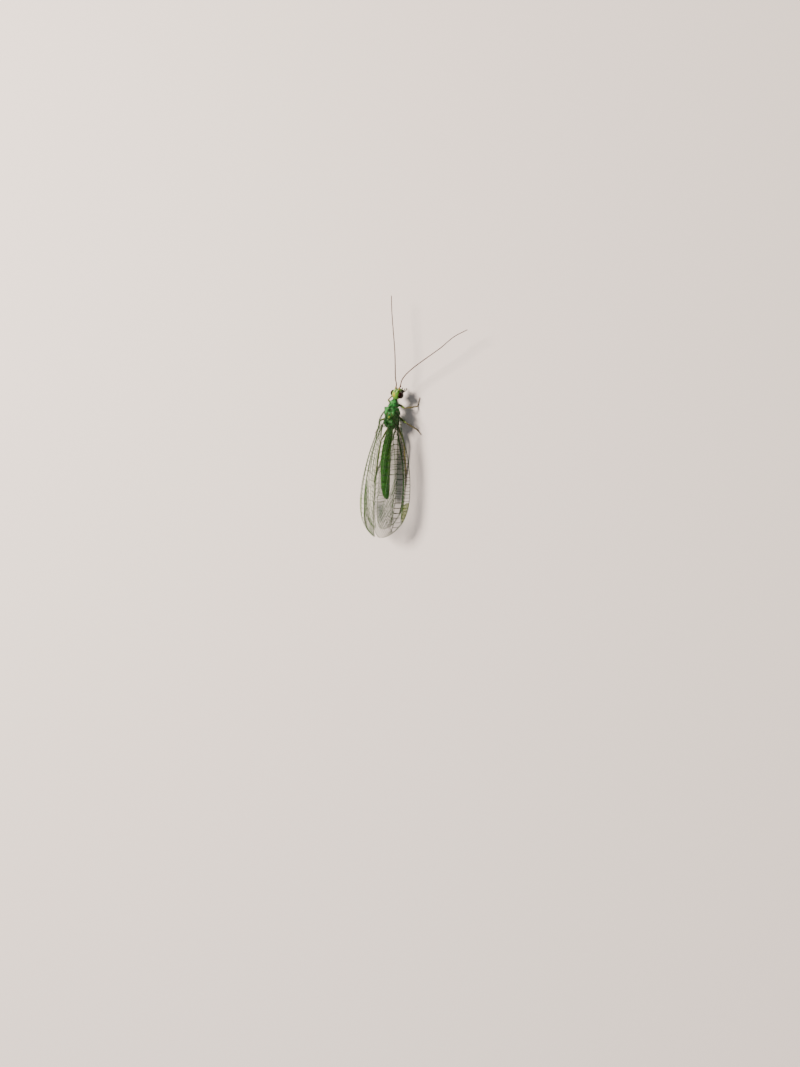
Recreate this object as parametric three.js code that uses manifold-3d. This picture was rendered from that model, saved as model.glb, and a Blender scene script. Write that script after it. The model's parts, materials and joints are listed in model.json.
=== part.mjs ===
/**
 * A green lacewing at rest, at life size, in millimetres.
 * +Z is up, the head points to -Y, and the insect's left side is +X.
 * It stands on the plane z = 0 with its four wings folded over the abdomen as a steep roof.
 * Places along the body are measured from the middle of the head.
 */
import * as THREE from 'three';
import { mergeVertices } from 'three/addons/utils/BufferGeometryUtils.js';
import Module from 'manifold-3d';

const wasm = await Module();
wasm.setup();

const { lerp, clamp, degToRad } = THREE.MathUtils;

// Clearances and floor
const GAP = 0.25; // between a part and the one it grows from
const EYE_GAP = 0.12; // between an eye and the rim of its socket
const FLOOR = { level: 0, size: 40, depth: 1 };
const SIDES = { left: 1, right: -1 };
const MERGE = 1e-5; // points closer than this are one

// Head, in its own frame: origin in the middle of the skull, face towards -Y
const HEAD = { x: -0.22, y: 0, z: 1.62, turn: degToRad(-14), roll: degToRad(12) };
const SKULL = { radii: [0.51, 0.5, 0.47], occiput: [0.38, 0.26, 0.34], occiputBack: 0.32 };
const FACE = { brow: [0, -0.16, 0.04], chin: [0, -0.44, -0.56], width: 0.4, depth: 0.72, taper: 0.62 };
const LIP = { centre: [0, -0.56, -0.6], radii: [0.21, 0.12, 0.1] };
const JAW = { x: 0.13, y: -0.5, z: -0.76, radii: [0.14, 0.13, 0.15] };
const MOUTH = { centre: [0, -0.66, -0.69], width: 0.7, depth: 0.34, height: 0.045, tilt: degToRad(-12) };
const PALP = {
  points: [[0.24, -0.4, -0.6], [0.36, -0.6, -0.78], [0.3, -0.82, -0.84]],
  radii: [0.1, 0.1, 0.08, 0.05],
};
const SOCKET = { x: 0.3, y: -0.36, z: 0.2, radii: [0.19, 0.12, 0.17] };
const EYE = { x: 0.48, y: 0.0, z: -0.06, radii: [0.24, 0.32, 0.35] };

// Antennae: each course runs from the face to the tip, x outward from the midline, its first point in
// the head's frame and the others as if the head didn't roll
const ANTENNA = {
  course: {
    left: [[0.34, -0.3, 0.2], [0.45, -1.2, 0.42], [0.82, -2.4, 0.66], [1.5, -4.2, 0.74],
      [2.45, -6.2, 0.74], [3.74, -8.8, 0.74]],
    right: [[0.34, -0.3, 0.2], [0.3, -1.3, 0.42], [0.6, -2.4, 0.62], [1.6, -3.8, 0.74],
      [3.0, -5.65, 0.74], [4.95, -8.05, 0.74]],
  },
  radii: [0.2, 0.25, 0.25, 0.25, 0.25, 0.1], // from the scape to the very end
  rimGap: 0.15, // between it and the rim of its socket
};

// Trunk
const NECK_X = -0.06; // where the head's turn begins
const PROTHORAX = {
  front: 0.64,
  back: 1.14,
  z: 1.58,
  width: 0.47,
  up: 0.37,
  down: 0.36,
  blunt: 4,
  narrow: 0.8, // width in front, as a share of that behind
};
const THORAX = {
  front: 1.34,
  back: 3.55,
  z: 1.68,
  width: 0.74,
  up: 0.66,
  down: 0.64,
  blunt: 3.2,
  lift: 0.08, // from its front to its back
};
const THORAX_LOBES = [
  { centre: [0.3, 1.86, 2.1], radii: [0.36, 0.44, 0.34] }, // scutum of the forewings
  { centre: [0.28, 2.9, 2.08], radii: [0.34, 0.36, 0.3] }, // scutum of the hindwings
  { centre: [0.54, 2.0, 1.5], radii: [0.28, 0.4, 0.44] }, // flank above the middle leg
  { centre: [0.52, 2.95, 1.45], radii: [0.28, 0.38, 0.42] }, // flank above the hind leg
  { centre: [0.0, 2.42, 2.26], radii: [0.26, 0.2, 0.2] }, // scutellum
  { centre: [0.0, 3.3, 2.1], radii: [0.2, 0.16, 0.18] }, // rear scutellum
];
const LOBE_RISE = 0.09; // how far they stand out of the core
const ABDOMEN = {
  spine: [[0.0, 3.6, 1.6], [0.16, 6, 1.56], [0.0, 8.2, 1.46], [-0.32, 10.55, 1.32]],
  width: 0.53,
  up: 0.47,
  down: 0.46,
  blunt: 7,
  taper: { front: 0.25, back: 0.12 },
  segments: 9,
  step: 0.09, // how far each segment starts inside the one before
};

// Legs: x outward from the midline, y, and z where it isn't on the floor
const LEG = {
  radius: 0.25,
  coxa: [0.27, 0.3, 0.36],
  thigh: 1.12, // thickness of the femur's middle, as a share
  bend: 0.26, // length of the rounding at knee and ankle
  ankleHeight: 0.2,
  toeHeight: 0.14,
  joints: 4, // of the tarsus
  waist: 0.84, // between two of them
  lastJoint: 0.72,
};
const CLAW = { length: 0.26, spread: degToRad(24), radius: 0.1, tip: 0.04 };
const LEGS = {
  leg_front_left: {
    side: SIDES.left,
    hip: [0.4, 0.95, 0.98],
    knee: [0.85, 0.62, 1.05],
    ankle: [0.62, -0.12],
    toe: [0.42, -0.68],
  },
  leg_front_right: {
    side: SIDES.right,
    hip: [0.44, 1.0, 0.98],
    knee: [1.15, 1.3, 1.35],
    ankle: [2.03, 0.9],
    toe: [2.14, 0.1],
  },
  leg_mid_left: {
    side: SIDES.left,
    hip: [0.44, 2.2, 0.88],
    knee: [1.4, 2.75, 1.2],
    ankle: [1.9, 3.3],
    toe: [2.2, 3.95],
  },
  leg_mid_right: {
    side: SIDES.right,
    hip: [0.44, 2.2, 0.88],
    knee: [1.5, 2.75, 1.2],
    ankle: [2.27, 3.2],
    toe: [2.7, 3.62],
  },
  leg_hind_left: {
    side: SIDES.left,
    hip: [0.44, 3.1, 0.84],
    knee: [1.25, 4.75, 0.62],
    ankle: [1.6, 7.9],
    toe: [1.72, 9.05],
  },
  leg_hind_right: {
    side: SIDES.right,
    hip: [0.44, 3.1, 0.84],
    knee: [1.28, 4.7, 0.62],
    ankle: [1.68, 7.8],
    toe: [1.78, 8.95],
  },
};

// The roof of the wings: stations from base to apex, each with its place along the body and the
// outward and upward places of the forewing's outer margin and of its hind margin at the ridge
const ROOF = [
  { y: 2.0, costa: [0.8, 2.05], hind: [0.55, 2.45] },
  { y: 2.5, costa: [1.08, 2.0], hind: [0.68, 2.66] },
  { y: 3.3, costa: [1.22, 1.86], hind: [0.42, 3.08] },
  { y: 4.5, costa: [1.56, 1.66], hind: [0.18, 3.68] },
  { y: 6.0, costa: [2.04, 1.46], hind: [0.15, 4.12] },
  { y: 8.0, costa: [2.46, 1.36], hind: [0.15, 4.22] },
  { y: 9.8, costa: [2.64, 1.42], hind: [0.15, 4.2] },
  { y: 11.5, costa: [2.56, 1.6], hind: [0.15, 4.08] },
  { y: 12.8, costa: [2.13, 1.9], hind: [0.18, 3.86] },
  { y: 13.7, costa: [1.43, 2.22], hind: [0.22, 3.46] },
  { y: 14.15, costa: [0.86, 2.43], hind: [0.3, 3.04] },
  { y: 14.34, costa: [0.46, 2.56], hind: [0.38, 2.7] },
];
const CAMBER = 0.07; // bow of the roof, as a share of the wing's width
const BEND = 0.46; // how far the ridge has swung to the right by the apex
const PLATE = 0.5; // thickness of a wing
const CROWDING = 0.4; // how much closer the crossveins stand towards the apex
const CROSSVEIN = 0.8; // height of a crossvein, as a share of a long vein's

// Wings: their reach as shares of the roof, and their long veins as shares of the wing's width
// at the base, half way and at the apex
const FOREWING = {
  reach: { start: 0, end: 1, costa: 0, hind: 1 },
  inset: 0,
  rows: 42,
  ridge: { height: 0.1, width: 0.07 },
  veins: [[0.2, 0.21, 0.13], [0.36, 0.42, 0.36], [0.56, 0.64, 0.6], [0.74, 0.82, 0.84]],
  crossed: 2, // fields, counted from the outer margin, that carry crossveins
};
const HINDWING = {
  reach: { start: 0.13, end: 0.93, costa: 0.15, hind: 0.8 },
  inset: 0.82,
  rows: 18,
  ridge: { height: 0.05, width: 0.07 },
  veins: [[0.16, 0.15, 0.12], [0.4, 0.42, 0.36], [0.72, 0.74, 0.7]],
  crossed: 0,
};

const material = (color, roughness) => new THREE.MeshStandardMaterial({ color, roughness, metalness: 0 });
const FINISH = {
  skin: () => material(0x4f9a3c, 0.45),
  eye: () => material(0x3a1a16, 0.2),
  antenna: () => material(0x8a5a3c, 0.6),
  leg: () => material(0x8f9a55, 0.55),
  wing: () => material(0xc4d6bc, 0.3),
};

const ALONG = new THREE.Vector3(0, 1, 0);
const vector = ([x, y, z]) => new THREE.Vector3(x, y, z);
const mirrored = ([x, y, z], side) => [side * x, y, z];
const curve = (points) => new THREE.CatmullRomCurve3(points.map(vector), false, 'centripetal');

/** A closed three.js geometry as a solid that can be joined and cut. */
function solid(geometry) {
  const bare = geometry.clone();
  bare.deleteAttribute('normal');
  bare.deleteAttribute('uv');
  const merged = mergeVertices(bare, MERGE);
  return new wasm.Manifold(new wasm.Mesh({
    numProp: 3,
    vertProperties: Float32Array.from(merged.attributes.position.array),
    triVerts: Uint32Array.from(merged.index.array),
  }));
}

/** One closed geometry joined from several and cut by others; only its largest piece is kept. */
function fuse(added, removed = []) {
  let shape = added.map(solid).reduce((sum, next) => sum.add(next));
  for (const cutter of removed) shape = shape.subtract(solid(cutter));
  const largest = shape.decompose().reduce((best, next) => (next.volume() > best.volume() ? next : best));
  const { vertProperties, triVerts } = largest.getMesh();
  const geometry = new THREE.BufferGeometry();
  geometry.setAttribute('position', new THREE.BufferAttribute(vertProperties, 3));
  geometry.setIndex(new THREE.BufferAttribute(triVerts, 1));
  geometry.computeVertexNormals();
  return geometry;
}

/** The value at t, from 0 to 1, along evenly spaced stations. */
function between(stations, t) {
  const at = t * (stations.length - 1);
  const i = Math.min(Math.floor(at), stations.length - 2);
  return lerp(stations[i], stations[i + 1], at - i);
}

/** Roundness of a closed form: 0 at both ends of s and 1 in the middle, blunter for a larger power. */
function rounded(s, power) {
  return Math.sqrt(Math.max(0, 1 - Math.abs(2 * s - 1) ** power));
}

/** A form whose rings follow a spine along +Y; section(s) gives its width, up and down at each. */
function trunkForm(spine, section, rings, around) {
  const geometry = new THREE.SphereGeometry(1, around, rings);
  const place = geometry.attributes.position;
  const unit = new THREE.Vector3();
  for (let i = 0; i < place.count; i++) {
    unit.fromBufferAttribute(place, i);
    const s = 1 - Math.acos(clamp(unit.y, -1, 1)) / Math.PI;
    const ring = Math.hypot(unit.x, unit.z) || 1;
    const { width, up, down } = section(s);
    const centre = spine.getPoint(s);
    const height = unit.z > 0 ? up : down;
    place.setXYZ(i, centre.x + (width * unit.x) / ring, centre.y, centre.z + (height * unit.z) / ring);
  }
  return geometry;
}

function ellipsoid(centre, radii, grown = 0, around = 14, rings = 10) {
  const geometry = new THREE.SphereGeometry(1, around, rings);
  geometry.scale(...radii.map((radius) => radius + grown));
  geometry.translate(...centre);
  return geometry;
}

/** A limb along a curve through the points, its radius given at stations; flat thins it one way. */
function limb(points, radii, { sides = 8, steps = 3, flat = 1 } = {}) {
  const path = curve(points);
  const frames = path.computeFrenetFrames(steps, false);
  const geometry = new THREE.CylinderGeometry(1, 1, 1, sides, steps);
  const place = geometry.attributes.position;
  for (let i = 0; i < place.count; i++) {
    const t = 0.5 - place.getY(i);
    const ring = Math.round(t * steps);
    const radius = between(radii, t);
    const point = path.getPoint(t)
      .addScaledVector(frames.normals[ring], place.getX(i) * radius)
      .addScaledVector(frames.binormals[ring], place.getZ(i) * radius * flat);
    place.setXYZ(i, point.x, point.y, point.z);
  }
  return geometry;
}

function mesh(name, geometry, finish) {
  const piece = new THREE.Mesh(geometry, finish);
  piece.name = name;
  return piece;
}

const bothSides = (make) => Object.values(SIDES).flatMap(make);

/** The head's capsule: skull, face, lip, jaws and palps, with the line of the mouth cut in. */
function headGeometry() {
  const mouth = new THREE.BoxGeometry(MOUTH.width, MOUTH.depth, MOUTH.height);
  mouth.rotateX(MOUTH.tilt);
  mouth.translate(...MOUTH.centre);
  const shaped = fuse([
    ellipsoid([0, 0, 0], SKULL.radii, 0, 18, 12),
    ellipsoid([0, SKULL.occiputBack, -0.04], SKULL.occiput, 0, 12, 8),
    limb([FACE.brow, FACE.chin], [FACE.width, FACE.width, FACE.width * FACE.taper], {
      sides: 12,
      flat: FACE.depth,
    }),
    ellipsoid(LIP.centre, LIP.radii, 0, 10, 6),
    ...bothSides((side) => [
      ellipsoid([side * JAW.x, JAW.y, JAW.z], JAW.radii, 0, 8, 6),
      ellipsoid([side * SOCKET.x, SOCKET.y, SOCKET.z], SOCKET.radii, 0, 8, 6),
    ]),
  ], [
    mouth,
    ...bothSides((side) => [ellipsoid([side * EYE.x, EYE.y, EYE.z], EYE.radii, EYE_GAP, 14, 8)]),
  ]);
  const palps = bothSides((side) => [
    limb(PALP.points.map((point) => mirrored(point, side)), PALP.radii, { sides: 6, steps: 3 }),
  ]);
  return fuse([shaped, ...palps]);
}

/** An antenna of scape and long flagellum, which rises a little and then runs level. */
function antennaGeometry(name) {
  const side = SIDES[name];
  const [root, ...rest] = ANTENNA.course[name].map((point) => mirrored(point, side));
  const points = [root, ...rest.map((point) => vector(point).applyAxisAngle(ALONG, -HEAD.roll).toArray())];
  return fuse([limb(points, ANTENNA.radii, { sides: 7, steps: 18 })], [
    ellipsoid([0, 0, 0], SKULL.radii, GAP),
    ellipsoid([side * SOCKET.x, SOCKET.y, SOCKET.z], SOCKET.radii, ANTENNA.rimGap, 10, 6),
  ]);
}

/** The head with its eyes and antennae, turned to the insect's right and rolled to its left. */
function headGroup() {
  const group = new THREE.Group();
  group.position.set(HEAD.x, HEAD.y, HEAD.z);
  group.rotation.set(0, HEAD.roll, HEAD.turn, 'ZYX');
  group.add(mesh('head', headGeometry(), FINISH.skin()));
  for (const [name, side] of Object.entries(SIDES)) {
    const ball = ellipsoid([side * EYE.x, EYE.y, EYE.z], EYE.radii, 0, 14, 10);
    group.add(mesh(`eye_${name}`, fuse([ball]), FINISH.eye()));
    group.add(mesh(`antenna_${name}`, antennaGeometry(name), FINISH.antenna()));
  }
  return group;
}

function prothoraxForm(grown = 0) {
  const { front, back, z, width, up, down, blunt, narrow } = PROTHORAX;
  const spine = curve([[NECK_X, front - grown, z], [0, back + grown, z]]);
  return trunkForm(spine, (s) => {
    const round = rounded(s, blunt) * lerp(narrow, 1, s);
    return { width: width * round + grown, up: up * round + grown, down: down * round + grown };
  }, 10, 16);
}

/** The rounded core of the thorax that carries the wings; grown widens it all round. */
function thoraxCore(grown = 0) {
  const { front, back, z, width, up, down, blunt, lift } = THORAX;
  const spine = curve([[0, front - grown, z - lift], [0, back + grown, z]]);
  return trunkForm(spine, (s) => {
    const round = rounded(s, blunt);
    return { width: width * round + grown, up: up * round + grown, down: down * round + grown };
  }, 10, 14);
}

/** The thorax, its core bulging with the muscles of the wings and legs. */
function thoraxGeometry() {
  const lobes = THORAX_LOBES.flatMap(({ centre, radii }) => {
    const sides = centre[0] ? Object.values(SIDES) : [1];
    return sides.map((side) => ellipsoid(mirrored(centre, side), radii, 0, 10, 6));
  });
  return fuse([thoraxCore(), ...lobes]);
}

/** The abdomen, each segment starting a step inside the rim of the one before. */
function abdomenForm(grown = 0) {
  const { spine, width, up, down, blunt, taper, segments, step } = ABDOMEN;
  const ringsEach = 4;
  return trunkForm(curve(spine), (s) => {
    const share = (s * segments) % 1;
    const rim = 1 - step * Math.max(0, 1 - 2 * share) ** 2;
    const slim = 1 - taper.front * (1 - s) ** 2 - taper.back * s ** 3;
    const round = rounded(s, blunt) * rim * slim;
    return { width: width * round + grown, up: up * round + grown, down: down * round + grown };
  }, segments * ringsEach, 14);
}

/** Two claws at the end of a foot that points from ankle to toe. */
function claws(ankle, toe) {
  const heading = Math.atan2(toe[1] - ankle[1], toe[0] - ankle[0]);
  return [-1, 1].map((turn) => {
    const angle = heading + turn * CLAW.spread;
    const tip = [toe[0] + CLAW.length * Math.cos(angle), toe[1] + CLAW.length * Math.sin(angle), CLAW.tip];
    return limb([toe, tip], [CLAW.radius, CLAW.tip], { sides: 6, steps: 1 });
  });
}

/** A leg of coxa, femur, tibia, jointed tarsus and claws, its foot cut flat on the floor. */
function legGeometry({ side, hip, knee, ankle, toe }) {
  const { radius, coxa, thigh, bend, ankleHeight, toeHeight, joints, waist, lastJoint } = LEG;
  const [hipAt, kneeAt, ankleAt, toeAt] = [hip, knee, [...ankle, ankleHeight], [...toe, toeHeight]]
    .map((point) => vector(mirrored(point, side)));
  const near = (from, to) => from.clone().add(to.clone().sub(from).setLength(bend));
  const middle = (from, to) => from.clone().lerp(to, 0.5);
  const rings = [
    [hipAt, radius], [middle(hipAt, kneeAt), radius * thigh], [near(kneeAt, hipAt), radius],
    [near(kneeAt, ankleAt), radius], [near(ankleAt, kneeAt), radius], [near(ankleAt, toeAt), radius],
  ];
  for (let i = 1; i <= 2 * joints; i++) {
    const share = i / (2 * joints);
    const swell = i % 2 ? waist : 1;
    rings.push([near(ankleAt, toeAt).lerp(toeAt, share), radius * swell * lerp(1, lastJoint, share)]);
  }
  const floor = new THREE.BoxGeometry(FLOOR.size, FLOOR.size, FLOOR.depth);
  floor.translate(0, 0, FLOOR.level - FLOOR.depth / 2);
  return fuse([
    ellipsoid(hipAt.toArray(), coxa, 0, 8, 6),
    limb(rings.map(([point]) => point.toArray()), rings.map(([, size]) => size), { steps: rings.length - 1 }),
    ...claws(ankleAt.toArray(), toeAt.toArray()),
  ], [floor, prothoraxForm(GAP), thoraxCore(LOBE_RISE + GAP)]);
}

/** Where the line that the two wings meet over stands at y, across the body. */
function ridgeAt(y) {
  const share = (y - ROOF[0].y) / (ROOF.at(-1).y - ROOF[0].y);
  return SIDES.right * BEND * Math.max(share, 0) ** 2;
}

/** The roof on one side: point(u, v) runs from base to apex and from outer to hind margin. */
function roof(name) {
  const side = SIDES[name];
  const margin = (key) => curve(ROOF.map((station) => {
    const [outward, up] = station[key];
    return [ridgeAt(station.y) + side * outward, station.y, up];
  }));
  const costa = margin('costa');
  const hind = margin('hind');
  const point = (u, v) => {
    const low = costa.getPoint(u);
    const chord = hind.getPoint(u).sub(low);
    const out = vector([side * chord.z, 0, Math.abs(chord.x)]).normalize();
    return low.addScaledVector(chord, v).addScaledVector(out, 4 * v * (1 - v) * CAMBER * chord.length());
  };
  const normal = (u, v) => {
    const step = 0.004;
    const alongWing = point(Math.min(u + step, 1), v).sub(point(Math.max(u - step, 0), v));
    const acrossWing = point(u, v + step).sub(point(u, v - step));
    return alongWing.cross(acrossWing).multiplyScalar(side).normalize();
  };
  return { point, normal };
}

/** The columns of a wing at u: v across it, with its lift on veins and the field it lies in. */
function wingColumns(wing, u) {
  const { veins, ridge } = wing;
  const places = veins.map((stations) => between(stations, u));
  const columns = [{ v: 0, lift: 1, field: -1 }, { v: ridge.width, lift: 0, field: 0 }];
  places.forEach((v, k) => {
    const before = columns.at(-1).v;
    const width = Math.min(ridge.width / 2, (v - before) / 3);
    if (k < wing.crossed) columns.push({ v: (before + v - width) / 2, lift: 0, field: k });
    columns.push({ v: v - width, lift: 0, field: k });
    columns.push({ v, lift: 1, field: -1 });
    columns.push({ v: v + width, lift: 0, field: k + 1 });
  });
  columns.push({ v: 1, lift: 0, field: -1 });
  return columns;
}

/** A wing as a plate under the roof, with its veins raised in its outer face. */
function wingPlate(name, surface, wing) {
  const side = SIDES[name];
  const { reach, inset, rows, ridge, crossed } = wing;
  const positions = [];
  let count = 0;
  for (let i = 0; i <= rows; i++) {
    const share = lerp(i / rows, Math.sin((Math.PI / 2) * (i / rows)), CROWDING);
    const u = lerp(reach.start, reach.end, share);
    const columns = wingColumns(wing, share);
    count = columns.length;
    for (const { v, lift, field } of columns) {
      const at = lerp(reach.costa, reach.hind, v);
      const onCrossvein = i % 2 === 1 && field >= 0 && field < crossed;
      const raised = onCrossvein ? CROSSVEIN : lift;
      const centre = surface.point(u, at);
      const out = surface.normal(u, at);
      for (const level of [PLATE / 2 + raised * ridge.height, -PLATE / 2]) {
        const p = centre.clone().addScaledVector(out, level - inset);
        const middle = ridgeAt(p.y);
        positions.push(middle + side * Math.max(side * (p.x - middle), GAP / 2), p.y, p.z);
      }
    }
  }
  return plateGeometry(positions, rows + 1, count, side);
}

/** A closed plate from a grid of point pairs, outer then inner, split alike on both faces. */
function plateGeometry(positions, rows, columns, side) {
  const index = [];
  const at = (i, j, face) => 2 * (i * columns + j) + face;
  const quad = (a, b, c, d) => index.push(...(side > 0 ? [a, b, c, a, c, d] : [a, c, b, a, d, c]));
  for (let i = 0; i < rows - 1; i++) {
    for (let j = 0; j < columns - 1; j++) {
      quad(at(i, j, 0), at(i + 1, j, 0), at(i + 1, j + 1, 0), at(i, j + 1, 0));
      quad(at(i + 1, j + 1, 1), at(i + 1, j, 1), at(i, j, 1), at(i, j + 1, 1));
    }
    quad(at(i, 0, 1), at(i + 1, 0, 1), at(i + 1, 0, 0), at(i, 0, 0));
    quad(at(i, columns - 1, 0), at(i + 1, columns - 1, 0), at(i + 1, columns - 1, 1), at(i, columns - 1, 1));
  }
  for (let j = 0; j < columns - 1; j++) {
    quad(at(0, j, 0), at(0, j + 1, 0), at(0, j + 1, 1), at(0, j, 1));
    quad(at(rows - 1, j, 1), at(rows - 1, j + 1, 1), at(rows - 1, j + 1, 0), at(rows - 1, j, 0));
  }
  const geometry = new THREE.BufferGeometry();
  geometry.setAttribute('position', new THREE.BufferAttribute(new Float32Array(positions), 3));
  geometry.setIndex(index);
  return geometry;
}

const clearance = thoraxCore(LOBE_RISE + GAP);
const lacewing = new THREE.Group();
lacewing.add(headGroup());
lacewing.add(mesh('prothorax', fuse([prothoraxForm()]), FINISH.skin()));
lacewing.add(mesh('thorax', thoraxGeometry(), FINISH.skin()));
lacewing.add(mesh('abdomen', fuse([abdomenForm()], [clearance]), FINISH.skin()));
for (const [name, joints] of Object.entries(LEGS)) {
  lacewing.add(mesh(name, legGeometry(joints), FINISH.leg()));
}
for (const name of Object.keys(SIDES)) {
  const surface = roof(name);
  const fore = wingPlate(name, surface, FOREWING);
  const hind = wingPlate(name, surface, HINDWING);
  lacewing.add(mesh(`forewing_${name}`, fuse([fore], [clearance]), FINISH.wing()));
  lacewing.add(mesh(`hindwing_${name}`, fuse([hind], [clearance, abdomenForm(GAP)]), FINISH.wing()));
}

// The origin lies on the floor under the middle of the whole
const outline = new THREE.Box3().setFromObject(lacewing, true);
const middle = outline.getCenter(new THREE.Vector3());
lacewing.position.set(-middle.x, -middle.y, -outline.min.z);

export default lacewing;
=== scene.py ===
"""The looks of a green lacewing, a life-size museum model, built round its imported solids.

Sizes and places are in millimetres in the insect's own frame: the head points to -Y, the insect's left is +X,
the floor is z = 0, and y is counted from the middle of the head. One placement turns them into the row frame,
in metres.
"""

import json
import logging
import math
from collections.abc import Callable, Iterable, Iterator, Sequence
from dataclasses import dataclass, field
from enum import Enum

import bmesh
import bpy
import numpy as np
from mathutils import Matrix, Vector, kdtree, noise

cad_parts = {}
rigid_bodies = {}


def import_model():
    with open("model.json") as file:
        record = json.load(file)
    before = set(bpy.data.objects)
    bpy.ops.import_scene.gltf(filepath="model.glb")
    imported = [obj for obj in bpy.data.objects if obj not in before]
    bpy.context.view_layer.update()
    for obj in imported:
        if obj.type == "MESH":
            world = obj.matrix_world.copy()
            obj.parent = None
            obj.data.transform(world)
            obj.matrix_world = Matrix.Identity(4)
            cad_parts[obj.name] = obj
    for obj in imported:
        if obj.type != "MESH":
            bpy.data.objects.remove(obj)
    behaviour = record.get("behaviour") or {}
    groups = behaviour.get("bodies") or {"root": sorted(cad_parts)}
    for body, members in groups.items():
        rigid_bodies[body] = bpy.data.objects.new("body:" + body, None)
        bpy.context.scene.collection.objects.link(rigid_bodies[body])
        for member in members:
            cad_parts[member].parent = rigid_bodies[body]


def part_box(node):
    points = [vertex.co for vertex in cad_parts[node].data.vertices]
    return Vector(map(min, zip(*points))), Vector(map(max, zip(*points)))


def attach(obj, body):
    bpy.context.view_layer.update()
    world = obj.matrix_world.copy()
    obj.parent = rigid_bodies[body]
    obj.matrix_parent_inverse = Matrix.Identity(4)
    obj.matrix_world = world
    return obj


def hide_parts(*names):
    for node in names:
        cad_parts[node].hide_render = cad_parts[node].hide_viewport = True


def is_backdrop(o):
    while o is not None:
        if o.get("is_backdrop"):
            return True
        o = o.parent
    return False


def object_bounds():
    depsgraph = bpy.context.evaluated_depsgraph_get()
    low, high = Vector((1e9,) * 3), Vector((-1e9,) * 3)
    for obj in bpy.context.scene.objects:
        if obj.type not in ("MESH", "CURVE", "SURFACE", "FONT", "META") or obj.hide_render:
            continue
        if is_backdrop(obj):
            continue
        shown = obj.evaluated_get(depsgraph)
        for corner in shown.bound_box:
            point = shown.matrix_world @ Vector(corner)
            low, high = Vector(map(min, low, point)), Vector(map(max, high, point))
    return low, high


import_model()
CAD_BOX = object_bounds()

log = logging.getLogger("lacewing")

MM = 0.001
BODY = "root"
SEED = 7
SIDES = {"left": 1, "right": -1}

UP = np.array([0.0, 0.0, 1.0])

Array = np.ndarray
Point = tuple[float, float, float]
Piece = bpy.types.Object
Tree = bpy.types.NodeTree
Node = bpy.types.Node
Socket = bpy.types.NodeSocket
Curve = Callable[[Array], Array]
Course = tuple[Point, ...]
Pairs = tuple[tuple[float, float], ...]


# Colour

def linear(code: str) -> tuple[float, float, float, float]:
    """Turn an sRGB hex colour into the linear values that a shader takes.

    Args:
        code: Six hex digits, with or without a leading hash.

    Returns:
        Red, green, blue and an alpha of 1.
    """
    digits = code.lstrip("#")
    values = [int(digits[i : i + 2], 16) / 255 for i in (0, 2, 4)]
    red, green, blue = (v / 12.92 if v <= 0.04045 else ((v + 0.055) / 1.055) ** 2.4 for v in values)
    return red, green, blue, 1.0


class Pigment(Enum):
    """Pigments of the body, as they show through its cuticle, and the painted shade laid over them."""

    HEAD_GREEN = "#4f7a2a"
    HEAD_YELLOW = "#97880f"
    HEAD_PALE = "#9fb074"
    THORAX_GREEN = "#1b5726"
    THORAX_LIGHT = "#37793b"
    # deep green of the thorax; its marks on the mesothorax's right side and over the metathorax are painted shade
    THORAX_DEEP = "#0a2f10"
    # painted shade, laid into the skin's hollows and seams and the crease behind the thorax
    SEAM_DARK = "#0d1c09"
    ABDOMEN_GREEN = "#275a0f"
    # pale of the abdomen's side fold, also used as painted light on its shaded flanks
    ABDOMEN_LIGHT = "#5f8128"
    ABDOMEN_DEEP = "#103606"
    MEMBRANE_PALE = "#6d8a3c"
    BLACK = "#070504"
    LEG_GREEN = "#46571f"
    LEG_PALE = "#7a6c45"
    FOOT_BROWN = "#3f2a15"
    PALP_BROWN = "#120c08"
    SCAPE_TAN = "#77663a"
    FLAGELLUM_BROWN = "#3f2019"
    FLAGELLUM_DARK = "#1f0f0c"
    VEIN_GREEN = "#47703c"
    VEIN_DARK = "#1a1411"

    @property
    def rgb(self) -> Array:
        """The pigment as three linear numbers."""
        return np.array(linear(self.value)[:3])


# Curves

class Spline:
    """A smooth curve through given values at rising places along one number."""

    def __init__(self, at: Sequence[float], values: Sequence) -> None:
        """Keep the places and work out the slope at each.

        Args:
            at: Rising places.
            values: A number or a point for each place.
        """
        self.at = np.asarray(at, float)
        self.values = np.asarray(values, float).reshape(len(self.at), -1)
        steps = np.diff(self.at)[:, None]
        rises = np.diff(self.values, axis=0) / steps
        inner = (rises[:-1] * steps[1:] + rises[1:] * steps[:-1]) / (steps[1:] + steps[:-1])
        self.slopes = np.vstack([rises[:1], inner, rises[-1:]])

    def __call__(self, t: Array | float) -> Array:
        """Find the curve's values.

        Args:
            t: Places along it.

        Returns:
            The values, one row for each place.
        """
        t = np.clip(np.atleast_1d(np.asarray(t, float)), self.at[0], self.at[-1])
        i = np.clip(np.searchsorted(self.at, t, side="right") - 1, 0, len(self.at) - 2)
        span = (self.at[i + 1] - self.at[i])[:, None]
        s = (t - self.at[i])[:, None] / span
        start, end = self.values[i], self.values[i + 1]
        rise_in, rise_out = self.slopes[i] * span, self.slopes[i + 1] * span
        return (
            (2 * s**3 - 3 * s**2 + 1) * start
            + (s**3 - 2 * s**2 + s) * rise_in
            + (3 * s**2 - 2 * s**3) * end
            + (s**3 - s**2) * rise_out
        )

    def one(self, t: Array | float) -> Array:
        """Return the values at t as a flat array, for a curve of single numbers."""
        return self(t)[:, 0]


def steps_along(points: Array) -> Array:
    """Return how far along their course each of the points lies."""
    return np.concatenate([[0], np.cumsum(np.linalg.norm(np.diff(points, axis=0), axis=1))])


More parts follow.
